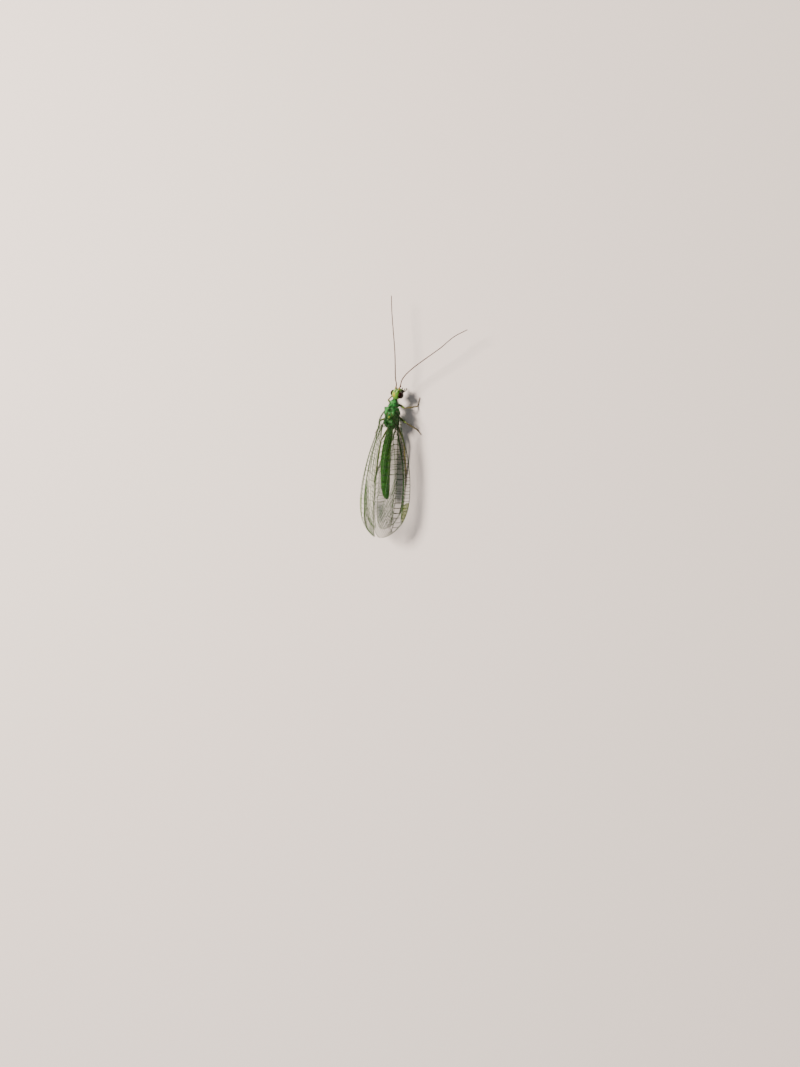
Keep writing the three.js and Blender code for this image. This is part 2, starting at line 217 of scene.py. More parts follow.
def smooth_path(points: Sequence, spacing: float) -> Array:
    """Lay evenly spaced points on a smooth curve through the given ones.

    Args:
        points: Points of any dimension, two or more.
        spacing: Distance between the new points.

    Returns:
        The new points, one row each.
    """
    points = np.asarray(points, float)
    at = steps_along(points)
    count = max(2, round(at[-1] / spacing) + 1)
    return Spline(at, points)(np.linspace(0, at[-1], count))


def unit(vectors: Array) -> Array:
    """Return the vectors at length 1."""
    return vectors / np.maximum(np.linalg.norm(vectors, axis=-1, keepdims=True), 1e-12)


# Meshes

class Tissue(Enum):
    """What a place on the body belongs to.

    Each has a number, its pigment, and its setae: how many stand on a square mm, their length in mm and how far
    they stand up.
    """

    SKULL = (0, Pigment.HEAD_GREEN, (110, 0.08, 0.55))
    FACE = (1, Pigment.HEAD_GREEN, (120, 0.07, 0.5))
    PALP = (2, Pigment.PALP_BROWN, (420, 0.045, 0.45))
    THORAX = (3, Pigment.THORAX_GREEN, (170, 0.13, 0.55))
    ABDOMEN = (4, Pigment.ABDOMEN_GREEN, (170, 0.1, 0.34))
    COXA = (5, Pigment.THORAX_GREEN, (180, 0.1, 0.5))
    FEMUR = (6, Pigment.LEG_GREEN, (340, 0.09, 0.45))
    TIBIA = (7, Pigment.LEG_PALE, (560, 0.085, 0.42))
    TARSUS = (8, Pigment.FOOT_BROWN, (760, 0.055, 0.4))

    def __init__(self, number: int, pigment: Pigment, setae: Point) -> None:
        """Name the tissue's values."""
        self.number, self.pigment, self.setae = number, pigment, setae


@dataclass
class Solid:
    """A closed triangle mesh in the insect's frame, in mm."""

    points: Array
    triangles: Array

    @staticmethod
    def joined(solids: Iterable["Solid"]) -> "Solid":
        """Put several solids into one mesh, without a union.

        Args:
            solids: The solids.

        Returns:
            The mesh.
        """
        solids = list(solids)
        starts = np.cumsum([0] + [len(s.points) for s in solids[:-1]])
        points = np.vstack([s.points for s in solids])
        triangles = np.vstack([s.triangles + start for s, start in zip(solids, starts)])
        return Solid(points, triangles)

    def outward(self) -> "Solid":
        """Return the solid with its faces turned out."""
        a, b, c = (self.points[self.triangles[:, k]] for k in range(3))
        volume = np.einsum("ij,ij->i", a, np.cross(b, c)).sum()
        return self if volume > 0 else Solid(self.points, self.triangles[:, ::-1])

    def mapped(self, change: Callable[[Array], Array]) -> "Solid":
        """Return the solid with its points changed."""
        return Solid(change(self.points), self.triangles)

    def to_object(self, name: str, change: Callable[[Array], Array] | None = None) -> Piece:
        """Make a smooth-shaded Blender object of the solid.

        Args:
            name: The object's name.
            change: Turns the points into the frame that the object is in; none keeps mm.

        Returns:
            The object, linked to the scene.
        """
        points = change(self.points) if change else self.points
        count = len(self.triangles)
        mesh = bpy.data.meshes.new(name)
        mesh.vertices.add(len(points))
        mesh.vertices.foreach_set("co", points.astype(np.float32).ravel())
        mesh.loops.add(3 * count)
        mesh.loops.foreach_set("vertex_index", self.triangles.astype(np.int32).ravel())
        mesh.polygons.add(count)
        mesh.polygons.foreach_set("loop_start", np.arange(0, 3 * count, 3, dtype=np.int32))
        mesh.polygons.foreach_set("use_smooth", np.ones(count, bool))
        mesh.update(calc_edges=True)
        made = bpy.data.objects.new(name, mesh)
        bpy.context.scene.collection.objects.link(made)
        return made

    @staticmethod
    def of_object(source: Piece) -> "Solid":
        """Read an object's mesh, with its modifiers applied.

        Args:
            source: The object.

        Returns:
            The mesh as a solid.
        """
        evaluated = source.evaluated_get(bpy.context.evaluated_depsgraph_get())
        mesh = evaluated.to_mesh()
        mesh.calc_loop_triangles()
        points = np.zeros(3 * len(mesh.vertices))
        mesh.vertices.foreach_get("co", points)
        triangles = np.zeros(3 * len(mesh.loop_triangles), np.int32)
        mesh.loop_triangles.foreach_get("vertices", triangles)
        evaluated.to_mesh_clear()
        return Solid(points.reshape(-1, 3), triangles.reshape(-1, 3))


@dataclass
class Part:
    """A solid of the body, what it is of, and the axis that its surface is unwrapped about."""

    solid: Solid
    tissue: Tissue
    axis: tuple[Point, Point]


def loft(rings: Array) -> Solid:
    """Close a skin over rings of equally many points, with a fan at each end.

    Args:
        rings: Points, as ring by point by xyz.

    Returns:
        The closed solid.
    """
    count, around, _ = rings.shape
    j = np.arange(around)
    after = (j + 1) % around
    rows = np.arange(count - 1)[:, None] * around
    a, b = rows + j, rows + after
    c, d = b + around, a + around
    sides = np.stack([a, b, c, a, c, d], -1).reshape(-1, 3)
    first, last = count * around, count * around + 1
    start = np.stack([np.full(around, first), after, j], -1)
    end = np.stack([np.full(around, last), j + first - around, after + first - around], -1)
    points = np.vstack([rings.reshape(-1, 3), rings[0].mean(0), rings[-1].mean(0)])
    return Solid(points, np.vstack([sides, start, end])).outward()


def lattice(along: Array, across: Array) -> list[Array]:
    """Return the two coordinates of the places of a grid, row after row."""
    return [g.ravel() for g in np.meshgrid(along, across, indexing="ij")]


def sheet(rows: int, columns: int) -> Array:
    """Make the triangles of a sheet over a grid of points.

    Args:
        rows: Number of rows of points.
        columns: Number of points in a row.

    Returns:
        The triangles.
    """
    i, j = lattice(np.arange(rows - 1), np.arange(columns - 1))
    a = i * columns + j
    b, c, d = a + 1, a + columns + 1, a + columns
    return np.vstack([np.stack([a, d, c], 1), np.stack([a, c, b], 1)])


def frames_along(path: Array) -> tuple[Array, Array]:
    """Carry two cross directions along a path without twist.

    Args:
        path: Points along the path.

    Returns:
        The two directions at each point.
    """
    tangents = unit(np.gradient(path, axis=0))
    lead = UP if abs(tangents[0][2]) < 0.9 else np.array([1.0, 0.0, 0.0])
    normals = np.zeros_like(path)
    for i, tangent in enumerate(tangents):
        lead = lead - (lead @ tangent) * tangent
        lead = lead / np.linalg.norm(lead)
        normals[i] = lead
    return normals, np.cross(tangents, normals)


def tube(path: Array, radii: Array | float, sides: int = 6, flat: float = 1.0) -> Solid:
    """Make a tube along a path.

    Args:
        path: Points along the path.
        radii: One radius, or one for each point.
        sides: Number of sides.
        flat: Thickness across its carried normal, as a share of its width.

    Returns:
        The closed tube.
    """
    normals, across = frames_along(path)
    radii = np.broadcast_to(np.asarray(radii, float), len(path))[:, None, None]
    angle = np.linspace(0, 2 * np.pi, sides, endpoint=False)[None, :, None]
    ring = np.cos(angle) * normals[:, None] * flat + np.sin(angle) * across[:, None]
    return loft(path[:, None] + radii * ring)


def capsule(
    path: Array, profile: Sequence[float], radius: float, sides: int = 16, end: float = 0.8, flat: float = 1.0,
    rings: int = 24,
) -> Solid:
    """Make a limb joint: a tube with rounded ends and a given profile.

    Args:
        path: Points along its middle.
        profile: Thickness at evenly spaced places, as shares of the radius.
        radius: The radius at share 1.
        sides: Number of sides.
        end: How round the ends are: length of the rounding in radii.
        flat: Thickness as a share of its width.
        rings: Number of rings.

    Returns:
        The closed joint.
    """
    steps = steps_along(path)
    length = steps[-1]
    share = 0.5 - 0.5 * np.cos(np.linspace(0, np.pi, rings))
    centre = Spline(steps, path)(share * length)
    thickness = Spline(np.linspace(0, 1, len(profile)), profile).one(share) * radius
    rounding = max(end * radius, 1e-6)
    near = np.minimum(share, 1 - share) * length / rounding
    blunt = np.sqrt(np.clip(1 - (1 - np.clip(near, 0, 1)) ** 2, 0.02, 1))
    return tube(centre, thickness * blunt, sides, flat)


def ellipsoid(centre: Point, radii: Point, around: int = 36, rings: int = 24) -> Solid:
    """Make an ellipsoid whose rings stand across Y.

    Args:
        centre: Its middle.
        radii: Its radii.
        around: Points in a ring.
        rings: Number of rings.

    Returns:
        The closed ellipsoid.
    """
    angle = np.linspace(0, 2 * np.pi, around, endpoint=False)[None, :]
    turn = np.linspace(0.02, np.pi - 0.02, rings)[:, None]
    across = np.sin(turn)
    rings_at = np.stack(
        [across * np.cos(angle), -np.cos(turn) * np.ones_like(angle), across * np.sin(angle)], -1
    )
    return loft(rings_at * np.asarray(radii) + np.asarray(centre))


def barrel(
    spine: Sequence[Point],
    section: Callable[[Array, Array], tuple[Array, Array]],
    rings: int = 40,
    around: int = 48,
    square: float = 1.0,
) -> Solid:
    """Make a trunk form whose rings stand across the body.

    Args:
        spine: Points along its middle, front to back.
        section: Gives the half width and half height at a share of the length and an angle from the
            insect's left through its top.
        rings: Number of rings.
        around: Points in a ring.
        square: 1 for round sections, less for squarer ones.

    Returns:
        The closed form.
    """
    at = [point[1] for point in spine]
    share = (0.5 - 0.5 * np.cos(np.linspace(0.03, np.pi - 0.03, rings)))[:, None]
    centre = Spline(at, spine)(at[0] + (at[-1] - at[0]) * share[:, 0])[:, None]
    angle = np.linspace(0, 2 * np.pi, around, endpoint=False)[None, :]
    width, height = section(share, angle)
    cos, sin = (np.sign(wave) * np.abs(wave) ** square for wave in (np.cos(angle), np.sin(angle)))
    offset = np.stack([width * cos, np.zeros_like(width * angle), height * sin], -1)
    return loft(centre + offset)


def rounded(share: Array, power: float) -> Array:
    """Return 0 at both ends of the share and 1 in the middle, blunter for a larger power."""
    return np.sqrt(np.clip(1 - np.abs(2 * share - 1) ** power, 0, 1))


def bump(distance: Array, width: float) -> Array:
    """Return a smooth bell of height 1 and the given half width."""
    return np.exp(-((distance / width) ** 2))


def averaged(triangles: Array, values: Array, rounds: int = 1, share: Array | float = 1.0) -> Array:
    """Average the values of each point of a mesh with its neighbours'.

    Args:
        triangles: The mesh's triangles.
        values: One row of numbers for each point.
        rounds: How often.
        share: How far each round goes, one number or one for each point.

    Returns:
        The new values.
    """
    edges = np.vstack([triangles[:, [0, 1]], triangles[:, [1, 2]], triangles[:, [2, 0]]])
    count = np.maximum(np.bincount(edges[:, 0], minlength=len(values)), 1)[:, None]
    for _ in range(rounds):
        around = [np.bincount(edges[:, 0], values[edges[:, 1], k], len(values)) for k in range(values.shape[1])]
        values = values + share * (np.stack(around, 1) / count - values)
    return values


def tree_of(points: Array) -> kdtree.KDTree:
    """Return a search tree of points.

    Args:
        points: The points, one row each.

    Returns:
        The tree, which names a point by its row.
    """
    tree = kdtree.KDTree(len(points))
    for number, point in enumerate(points):
        tree.insert(point, number)
    tree.balance()
    return tree


# Placement

@dataclass(frozen=True)
class HeadPose:
    """Where the head sits: its place, its turn to the insect's right, its roll to the left, and its eyes' middle."""

    at: Point = (-0.22, 0.0, 1.62)
    turn: float = math.radians(-14)
    roll: float = math.radians(12)
    eye: Point = (0.48, 0.0, -0.06)

    def rolled(self, points: Array) -> Array:
        """Roll places in the head's own frame."""
        cos, sin = math.cos(self.roll), math.sin(self.roll)
        x, y, z = np.moveaxis(np.asarray(points, float), -1, 0)
        return np.stack([x * cos + z * sin, y, z * cos - x * sin], -1)

    def out(self, points: Array, roll: bool = True) -> Array:
        """Turn places in the head's own frame into the insect's frame.

        Args:
            points: The places.
            roll: Whether they take part in the head's roll.

        Returns:
            The turned places.
        """
        cos, sin = math.cos(self.turn), math.sin(self.turn)
        x, y, z = np.moveaxis(self.rolled(points) if roll else np.asarray(points, float), -1, 0)
        return np.stack([x * cos - y * sin, x * sin + y * cos, z], -1) + np.asarray(self.at)


HEAD = HeadPose()


@dataclass(frozen=True)
class Placement:
    """Turns the insect's frame in mm into the row frame in metres."""

    shift: Array

    @classmethod
    def of_frame(cls) -> "Placement":
        """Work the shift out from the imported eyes, whose place on the head is known."""
        corners = np.array([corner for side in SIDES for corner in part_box(f"eye_{side}")])
        known = HEAD.out(np.array([0.0, HEAD.eye[1], HEAD.eye[2]]))
        return cls(corners.mean(0) / MM - known)

    def row(self, points: Array) -> Array:
        """Return places of the insect's frame in the row frame."""
        return (np.asarray(points, float) + self.shift) * MM


PLACE = Placement.of_frame()


# Materials

def add_node(
    tree: Tree, kind: str, settings: dict | None = None, links: dict | None = None, **options: object
) -> Node:
    """Add a node with its settings and links.

    Args:
        tree: The node tree.
        kind: The node's type.
        settings: Values for its input sockets, by name or number.
        links: Output sockets to link to its input sockets, by name or number.
        **options: The node's own properties.

    Returns:
        The node.
    """
    node = tree.nodes.new(kind)
    for name, value in options.items():
        setattr(node, name, value)
    for socket, value in (settings or {}).items():
        node.inputs[socket].default_value = value
    for socket, source in (links or {}).items():
        tree.links.new(source, node.inputs[socket])
    return node


def per_mm(size: float) -> float:
    """Return the texture scale that repeats once in the given number of mm."""
    return 1 / (size * MM)


@dataclass(frozen=True)
class Finish:
    """A surface finish: the base of every material here."""

    name: str

    def build(self, tree: Tree) -> Node:
        """Add the nodes.

        Args:
            tree: The node tree.

        Returns:
            The shader.
        """
        raise NotImplementedError

    def material(self) -> bpy.types.Material:
        """Make the finish's material, or find it if it is there.

        Returns:
            The material.
        """
        found = bpy.data.materials.get(self.name)
        if found:
            return found
        made = bpy.data.materials.new(self.name)
        made.use_nodes = True
        made.node_tree.nodes.clear()
        shader = self.build(made.node_tree)
        add_node(made.node_tree, "ShaderNodeOutputMaterial", links={"Surface": shader.outputs["BSDF"]})
        return made

    @staticmethod
    def drifting(
        tree: Tree, tones: tuple[str, str], size: float, span: tuple[float, float] = (0, 1)
    ) -> Socket:
        """Add a colour that drifts between two tones.

        Args:
            tree: The node tree.
            tones: The two sRGB colours.
            size: Width of the clouds that it drifts in, in mm.
            span: The part of the clouds' range over which it changes.

        Returns:
            The colour.
        """
        place = add_node(tree, "ShaderNodeTexCoord").outputs["Object"]
        cloud = add_node(tree, "ShaderNodeTexNoise", {"Scale": per_mm(size)}, {"Vector": place}).outputs["Fac"]
        limits = {"From Min": span[0], "From Max": span[1]}
        share = add_node(tree, "ShaderNodeMapRange", limits, {"Value": cloud}).outputs["Result"]
        ends = {6: linear(tones[0]), 7: linear(tones[1])}
        return add_node(tree, "ShaderNodeMix", ends, {0: share}, data_type="RGBA").outputs[2]

    @staticmethod
    def stained(
        tree: Tree, size: float, variation: float, detail: float = 2.0, coarse: float = 0.5
    ) -> tuple[Socket, Socket]:
        """Add the pigment painted on the piece, deeper and fainter in clouds.

        Args:
            tree: The node tree.
            size: Width of the clouds in mm.
            variation: How far the pigment's depth varies.
            detail: How many finer clouds lie in the large ones.
            coarse: How strong the finer ones are.

        Returns:
            The colour, and the clouds themselves.
        """
        place = add_node(tree, "ShaderNodeTexCoord").outputs["Object"]
        pigment = add_node(tree, "ShaderNodeAttribute", attribute_name="pigment").outputs["Color"]
        grain = {"Scale": per_mm(size), "Detail": detail, "Roughness": coarse}
        cloud = add_node(tree, "ShaderNodeTexNoise", grain, {"Vector": place}).outputs["Fac"]
        limits = {"From Min": 0.3, "From Max": 0.7, "To Min": 1 - variation, "To Max": 1 + variation}
        depth = add_node(tree, "ShaderNodeMapRange", limits, {"Value": cloud}).outputs["Result"]
        colour = add_node(tree, "ShaderNodeVectorMath", links={0: pigment, "Scale": depth}, operation="SCALE")
        return colour.outputs["Vector"], cloud


@dataclass(frozen=True)
class PigmentedCuticle(Finish):
    """Insect cuticle: sclerotised chitin grown in layers over coloured tissue.

    The pigment lies under a clear waxy outer layer, so the colour is deep and the gloss is soft. Its fine
    plates of about 0.012 mm are drawn at three times that, because they would not show otherwise.
    """

    roughness: float = 0.46
    spread: float = 0.1  # how far roughness varies
    gloss: float = 0.25  # share of a bare surface's mirroring that the waxy bloom leaves
    bloom: str = "#8abf76"  # the green that the wax mirrors, as light passes to the pigment and back
    coat: float = 0.06
    mottle: float = 0.18  # how much the pigment varies in depth
    mottle_size: float = 0.16
    plate_size: float = 0.036
    plate_depth: float = 0.0022
    translucence: float = 0.12
    glow_depth: float = 0.25

    def build(self, tree: Tree) -> Node:
        """Add the nodes and return the shader."""
        colour, cloud = self.stained(tree, self.mottle_size, self.mottle, 3.0, 0.6)
        low, high = self.roughness - self.spread, self.roughness + self.spread
        limits = {"From Min": 0.3, "From Max": 0.7, "To Min": low, "To Max": high}
        polish = add_node(tree, "ShaderNodeMapRange", limits, {"Value": cloud}).outputs["Result"]
        place = add_node(tree, "ShaderNodeTexCoord").outputs["Object"]
        plates = add_node(
            tree, "ShaderNodeTexVoronoi", {"Scale": per_mm(self.plate_size)}, {"Vector": place}, feature="SMOOTH_F1"
        ).outputs["Distance"]
        ridges = {"Strength": 0.6, "Distance": self.plate_depth * MM}
        relief = add_node(tree, "ShaderNodeBump", ridges, {"Height": plates}, invert=True).outputs["Normal"]
        return add_node(
            tree,
            "ShaderNodeBsdfPrincipled",
            {
                "IOR": 1.56,
                "Specular IOR Level": self.gloss,
                "Specular Tint": linear(self.bloom),
                "Coat Weight": self.coat,
                "Coat Roughness": 0.22,
                "Coat IOR": 1.45,
                "Subsurface Weight": self.translucence,
                "Subsurface Radius": (0.5, 1.0, 0.3),
                "Subsurface Scale": self.glow_depth * MM,
            },
            {"Base Color": colour, "Roughness": polish, "Normal": relief},
        )


@dataclass(frozen=True)
class FacetedLens(Finish):
    """Compound eye: clear domed lenses of chitin over dark red pigment cells.

    The pigment swallows nearly all light, so the eye looks black with a dull red glow, and its many small
    domes break each highlight into a soft one.
    """

    dark: str = "#020101"
    red: str = "#1a0402"
    glow: str = "#6f4f3a"

    def build(self, tree: Tree) -> Node:
        """Add the nodes and return the shader."""
        gloss = {"IOR": 1.5, "Roughness": 0.34, "Specular Tint": linear(self.glow)}
        coat = {"Coat Weight": 0.08, "Coat Roughness": 0.12}
        colour = self.drifting(tree, (self.dark, self.red), 0.35, (0.42, 0.78))
        return add_node(tree, "ShaderNodeBsdfPrincipled", gloss | coat, {"Base Color": colour})


@dataclass(frozen=True)
class TubeCuticle(Finish):
    """Fine chitin tubes, such as veins and feelers: smooth, ringed by growth and softly glossy."""

    roughness: float = 0.4
    bloom: str = "#8abf76"
    gloss: float = 0.25
    grain_size: float = 0.05
    variation: float = 0.2

    def build(self, tree: Tree) -> Node:
        """Add the nodes and return the shader."""
        colour, _ = self.stained(tree, self.grain_size, self.variation)
        gloss = {"IOR": 1.56, "Roughness": self.roughness, "Specular IOR Level": self.gloss}
        coat = {"Specular Tint": linear(self.bloom), "Coat Weight": 0.05, "Coat Roughness": 0.2}
        return add_node(tree, "ShaderNodeBsdfPrincipled", gloss | coat, {"Base Color": colour})


@dataclass(frozen=True)
class WingMembrane(Finish):
    """Wing membrane: two sheets of clear chitin pressed to a film about a thousandth of a mm thick.

    It is nearly clear with a grey-green cast, wrinkled between its veins, and its thinness gives the faint
    rainbow of a soap film where it mirrors a light.
    """

    tint: str = "#1b5a20"
    warm: str = "#3a4d1c"
    alpha: float = 0.14
    roughness: float = 0.18
    film: float = 520.0  # in nanometres
    wrinkle_size: float = 0.22
    wrinkle_depth: float = 0.012

    def build(self, tree: Tree) -> Node:
        """Add the nodes and return the shader."""
        colour = self.drifting(tree, (self.tint, self.warm), 1.4)
        place = add_node(tree, "ShaderNodeTexCoord").outputs["Object"]
        grain = {"Scale": per_mm(self.wrinkle_size), "Detail": 4.0, "Roughness": 0.5}
        wrinkles = add_node(tree, "ShaderNodeTexNoise", grain, {"Vector": place}).outputs["Fac"]
        ridges = {"Strength": 0.5, "Distance": self.wrinkle_depth * MM}
        relief = add_node(tree, "ShaderNodeBump", ridges, {"Height": wrinkles}).outputs["Normal"]
        clear = {"IOR": 1.56, "Alpha": self.alpha, "Roughness": self.roughness}
        film = {"Thin Film Thickness": self.film, "Thin Film IOR": 1.4}
        links = {"Base Color": colour, "Normal": relief}
        return add_node(tree, "ShaderNodeBsdfPrincipled", clear | film, links)


@dataclass(frozen=True)
class Seta(Finish):
    """Setae: tapered chitin hairs, solid and slightly clear, paler where they thin out."""

    root: str = "#2b2814"
    light: str = "#625a30"

    def build(self, tree: Tree) -> Node:
        """Add the nodes and return the shader."""
        colour = self.drifting(tree, (self.root, self.light), 0.4)
        return add_node(
            tree, "ShaderNodeBsdfPrincipled", {"IOR": 1.56, "Roughness": 0.45}, {"Base Color": colour}
        )


@dataclass(frozen=True)
class HardChitin(Finish):
    """Claws: the hardest and darkest chitin, tanned brown and polished by wear."""

    dark: str = "#22150d"
    brown: str = "#5a3a20"

    def build(self, tree: Tree) -> Node:
        """Add the nodes and return the shader."""
        gloss = {"IOR": 1.56, "Roughness": 0.28, "Coat Weight": 0.3, "Coat Roughness": 0.1}
        colour = self.drifting(tree, (self.dark, self.brown), 0.08)
        return add_node(tree, "ShaderNodeBsdfPrincipled", gloss, {"Base Color": colour})


@dataclass(frozen=True)
class PaintedBoard(Finish):
    """The floor: a board painted matt, almost white, with the faint tooth of a roller."""

    colour: str = "#cbc0bb"
    tooth: float = 0.9
    tooth_depth: float = 0.02

    def build(self, tree: Tree) -> Node:
        """Add the nodes and return the shader."""
        place = add_node(tree, "ShaderNodeTexCoord").outputs["Object"]
        grain = {"Scale": per_mm(self.tooth), "Detail": 3.0}
        tooth = add_node(tree, "ShaderNodeTexNoise", grain, {"Vector": place}).outputs["Fac"]
        ridges = {"Strength": 0.08, "Distance": self.tooth_depth * MM}
        relief = add_node(tree, "ShaderNodeBump", ridges, {"Height": tooth}).outputs["Normal"]
        matt = {"Base Color": linear(self.colour), "Roughness": 0.7}
        return add_node(tree, "ShaderNodeBsdfPrincipled", matt, {"Normal": relief})


class Surface(Enum):
    """The finish of each kind of piece."""

    SKIN = PigmentedCuticle("lacewing_cuticle")
    EYE = FacetedLens("compound_eye_lens")
    FEELER = TubeCuticle("feeler_cuticle", roughness=0.5, bloom="#b08a78")
    VEIN = TubeCuticle("wing_vein_cuticle", roughness=0.38)
    MEMBRANE = WingMembrane("wing_membrane")
    STIGMA = WingMembrane("pterostigma_membrane", "#8fb11c", "#7fa214", alpha=0.56, roughness=0.4)
    BODY_SETA = Seta("body_setae")
    WING_SETA = Seta("wing_setae", root="#1f1813", light="#4d402e")
    CLAW = HardChitin("claw_chitin")
    FLOOR = PaintedBoard("painted_board")


def dress(piece: Piece, finish: Surface, slot: str, *nodes: str) -> Piece:
    """Give a piece its finish and tie it to the frame.

    Args:
        piece: The piece, in the row frame.
        finish: Its finish.
        slot: The record's material slot it takes after; not used.
        *nodes: CAD nodes that it stands for.

    Returns:
        The piece.
    """
    piece.data.materials.append(finish.value.material())
    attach(piece, BODY)
    if nodes:
        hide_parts(*nodes)
    log.info("%s: %d vertices, %d faces", piece.name, len(piece.data.vertices), len(piece.data.polygons))
    return piece


def paint(piece: Piece, colours: Array) -> None:
    """Keep a linear colour for each vertex as the piece's pigment.

    Args:
        piece: The piece.
        colours: One row of red, green and blue for each vertex.
    """
    layer = piece.data.color_attributes.new("pigment", "FLOAT_COLOR", "POINT")
    values = np.ones((len(colours), 4), np.float32)
    values[:, :3] = colours
    layer.data.foreach_set("color", values.ravel())


def mix(start: Array, end: Array, share: Array) -> Array:
    """Blend colours row by row."""
    share = np.clip(share, 0, 1)[:, None]
    return start * (1 - share) + end * share


def set_bake_map(piece: Piece, places: Array) -> None:
    """Give a piece the map that its colours are baked on, one place for each vertex.

    Args:
        piece: The piece.
        places: One row of two numbers for each vertex.
    """
    mesh = piece.data
    corners = np.zeros(len(mesh.loops), np.int32)
    mesh.loops.foreach_get("vertex_index", corners)
    mesh.uv_layers.new(name="OFBake").data.foreach_set("uv", places[corners].astype(np.float32).ravel())


# The body's forms

@dataclass(frozen=True)
class Head:
    """The head's capsule with face, mouthparts and antennal sockets, in the head's own frame."""

    skull: Point = (0.5, 0.49, 0.46)
    occiput: Point = (0.37, 0.26, 0.33)
    occiput_at: Point = (0.0, 0.3, -0.04)
    brow: Point = (0.0, -0.16, 0.04)
    chin: Point = (0.0, -0.44, -0.54)
    face_width: float = 0.38
    face_depth: float = 0.7
    socket_at: Point = (0.2, -0.4, 0.17)
    socket: Point = (0.115, 0.09, 0.11)
    cheek_at: Point = (0.33, -0.2, -0.34)
    cheek: Point = (0.17, 0.22, 0.2)
    lip_at: Point = (0.0, -0.56, -0.6)
    lip: Point = (0.2, 0.09, 0.085)
    clypeus_at: Point = (0.0, -0.5, -0.5)
    clypeus: Point = (0.25, 0.13, 0.13)
    jaw: Course = ((0.27, -0.38, -0.52), (0.22, -0.48, -0.7), (0.05, -0.57, -0.8))
    jaw_radius: float = 0.1
    upper_palp: Course = (
        (0.24, -0.4, -0.6), (0.32, -0.47, -0.68), (0.38, -0.58, -0.74), (0.4, -0.72, -0.78),
        (0.36, -0.88, -0.8),
    )
    lower_palp: Course = (
        (0.09, -0.44, -0.74), (0.14, -0.55, -0.82), (0.16, -0.68, -0.85), (0.14, -0.79, -0.85),
    )
    palp_radius: float = 0.045
    neck: tuple[Point, Point] = ((-0.16, 0.42, 1.56), (0.0, 0.86, 1.55))
    neck_radius: float = 0.27

    def soft(self) -> list[Part]:
        """Build the forms that flow into one another.

        Returns:
            The forms.
        """
        axis = (tuple(HEAD.out(np.array([0, -0.6, 0]))), tuple(HEAD.out(np.array([0, 0.6, 0]))))
        face = capsule(
            np.array([self.brow, self.chin]), [1, 1, 0.92, 0.8, 0.68], self.face_width, 36, 0.4, self.face_depth
        )
        forms = [
            (ellipsoid((0, 0, 0), self.skull), Tissue.SKULL),
            (ellipsoid(self.occiput_at, self.occiput), Tissue.SKULL),
            (face, Tissue.FACE),
            (ellipsoid(self.clypeus_at, self.clypeus), Tissue.FACE),
        ]
        for side in SIDES.values():
            forms += [
                (ellipsoid(flip(self.socket_at, side), self.socket), Tissue.SKULL),
                (ellipsoid(flip(self.cheek_at, side), self.cheek), Tissue.FACE),
            ]
        parts = [Part(form.mapped(HEAD.out), tissue, axis) for form, tissue in forms]
        neck = capsule(np.array(self.neck), [1, 0.96, 1.05], self.neck_radius, 32)
        return [*parts, Part(neck, Tissue.THORAX, self.neck)]

    def fine(self) -> list[Part]:
        """Build the small forms that keep their edges: lip, jaws and palps.

        Returns:
            The forms.
        """
        found = [(ellipsoid(self.lip_at, self.lip, 32, 16), Tissue.FACE, (self.lip_at, self.chin))]
        for side in SIDES.values():
            jaw = smooth_path([flip(p, side) for p in self.jaw], 0.02)
            profile = [1, 0.95, 0.75, 0.35]
            found.append((capsule(jaw, profile, self.jaw_radius, 16, 0.6), Tissue.FACE, (jaw[0], jaw[-1])))
            for palp in (self.upper_palp, self.lower_palp):
                joints = [flip(p, side) for p in palp]
                for start, end in zip(joints[:-1], joints[1:]):
                    overlap = 0.03 * unit(np.subtract(end, start))
                    ends = np.array([start - overlap, end + overlap])
                    joint = capsule(ends, [0.86, 0.94, 1, 0.9], self.palp_radius, 14, 0.8, 1, 14)
                    found.append((joint, Tissue.PALP, (start, end)))
        return [
            Part(form.mapped(HEAD.out), tissue, tuple(tuple(HEAD.out(np.array(p))) for p in axis))
            for form, tissue, axis in found
        ]


def flip(point: Point, side: int) -> Point:
    """Return a place given for the left on the given side."""
    return (side * point[0], point[1], point[2])


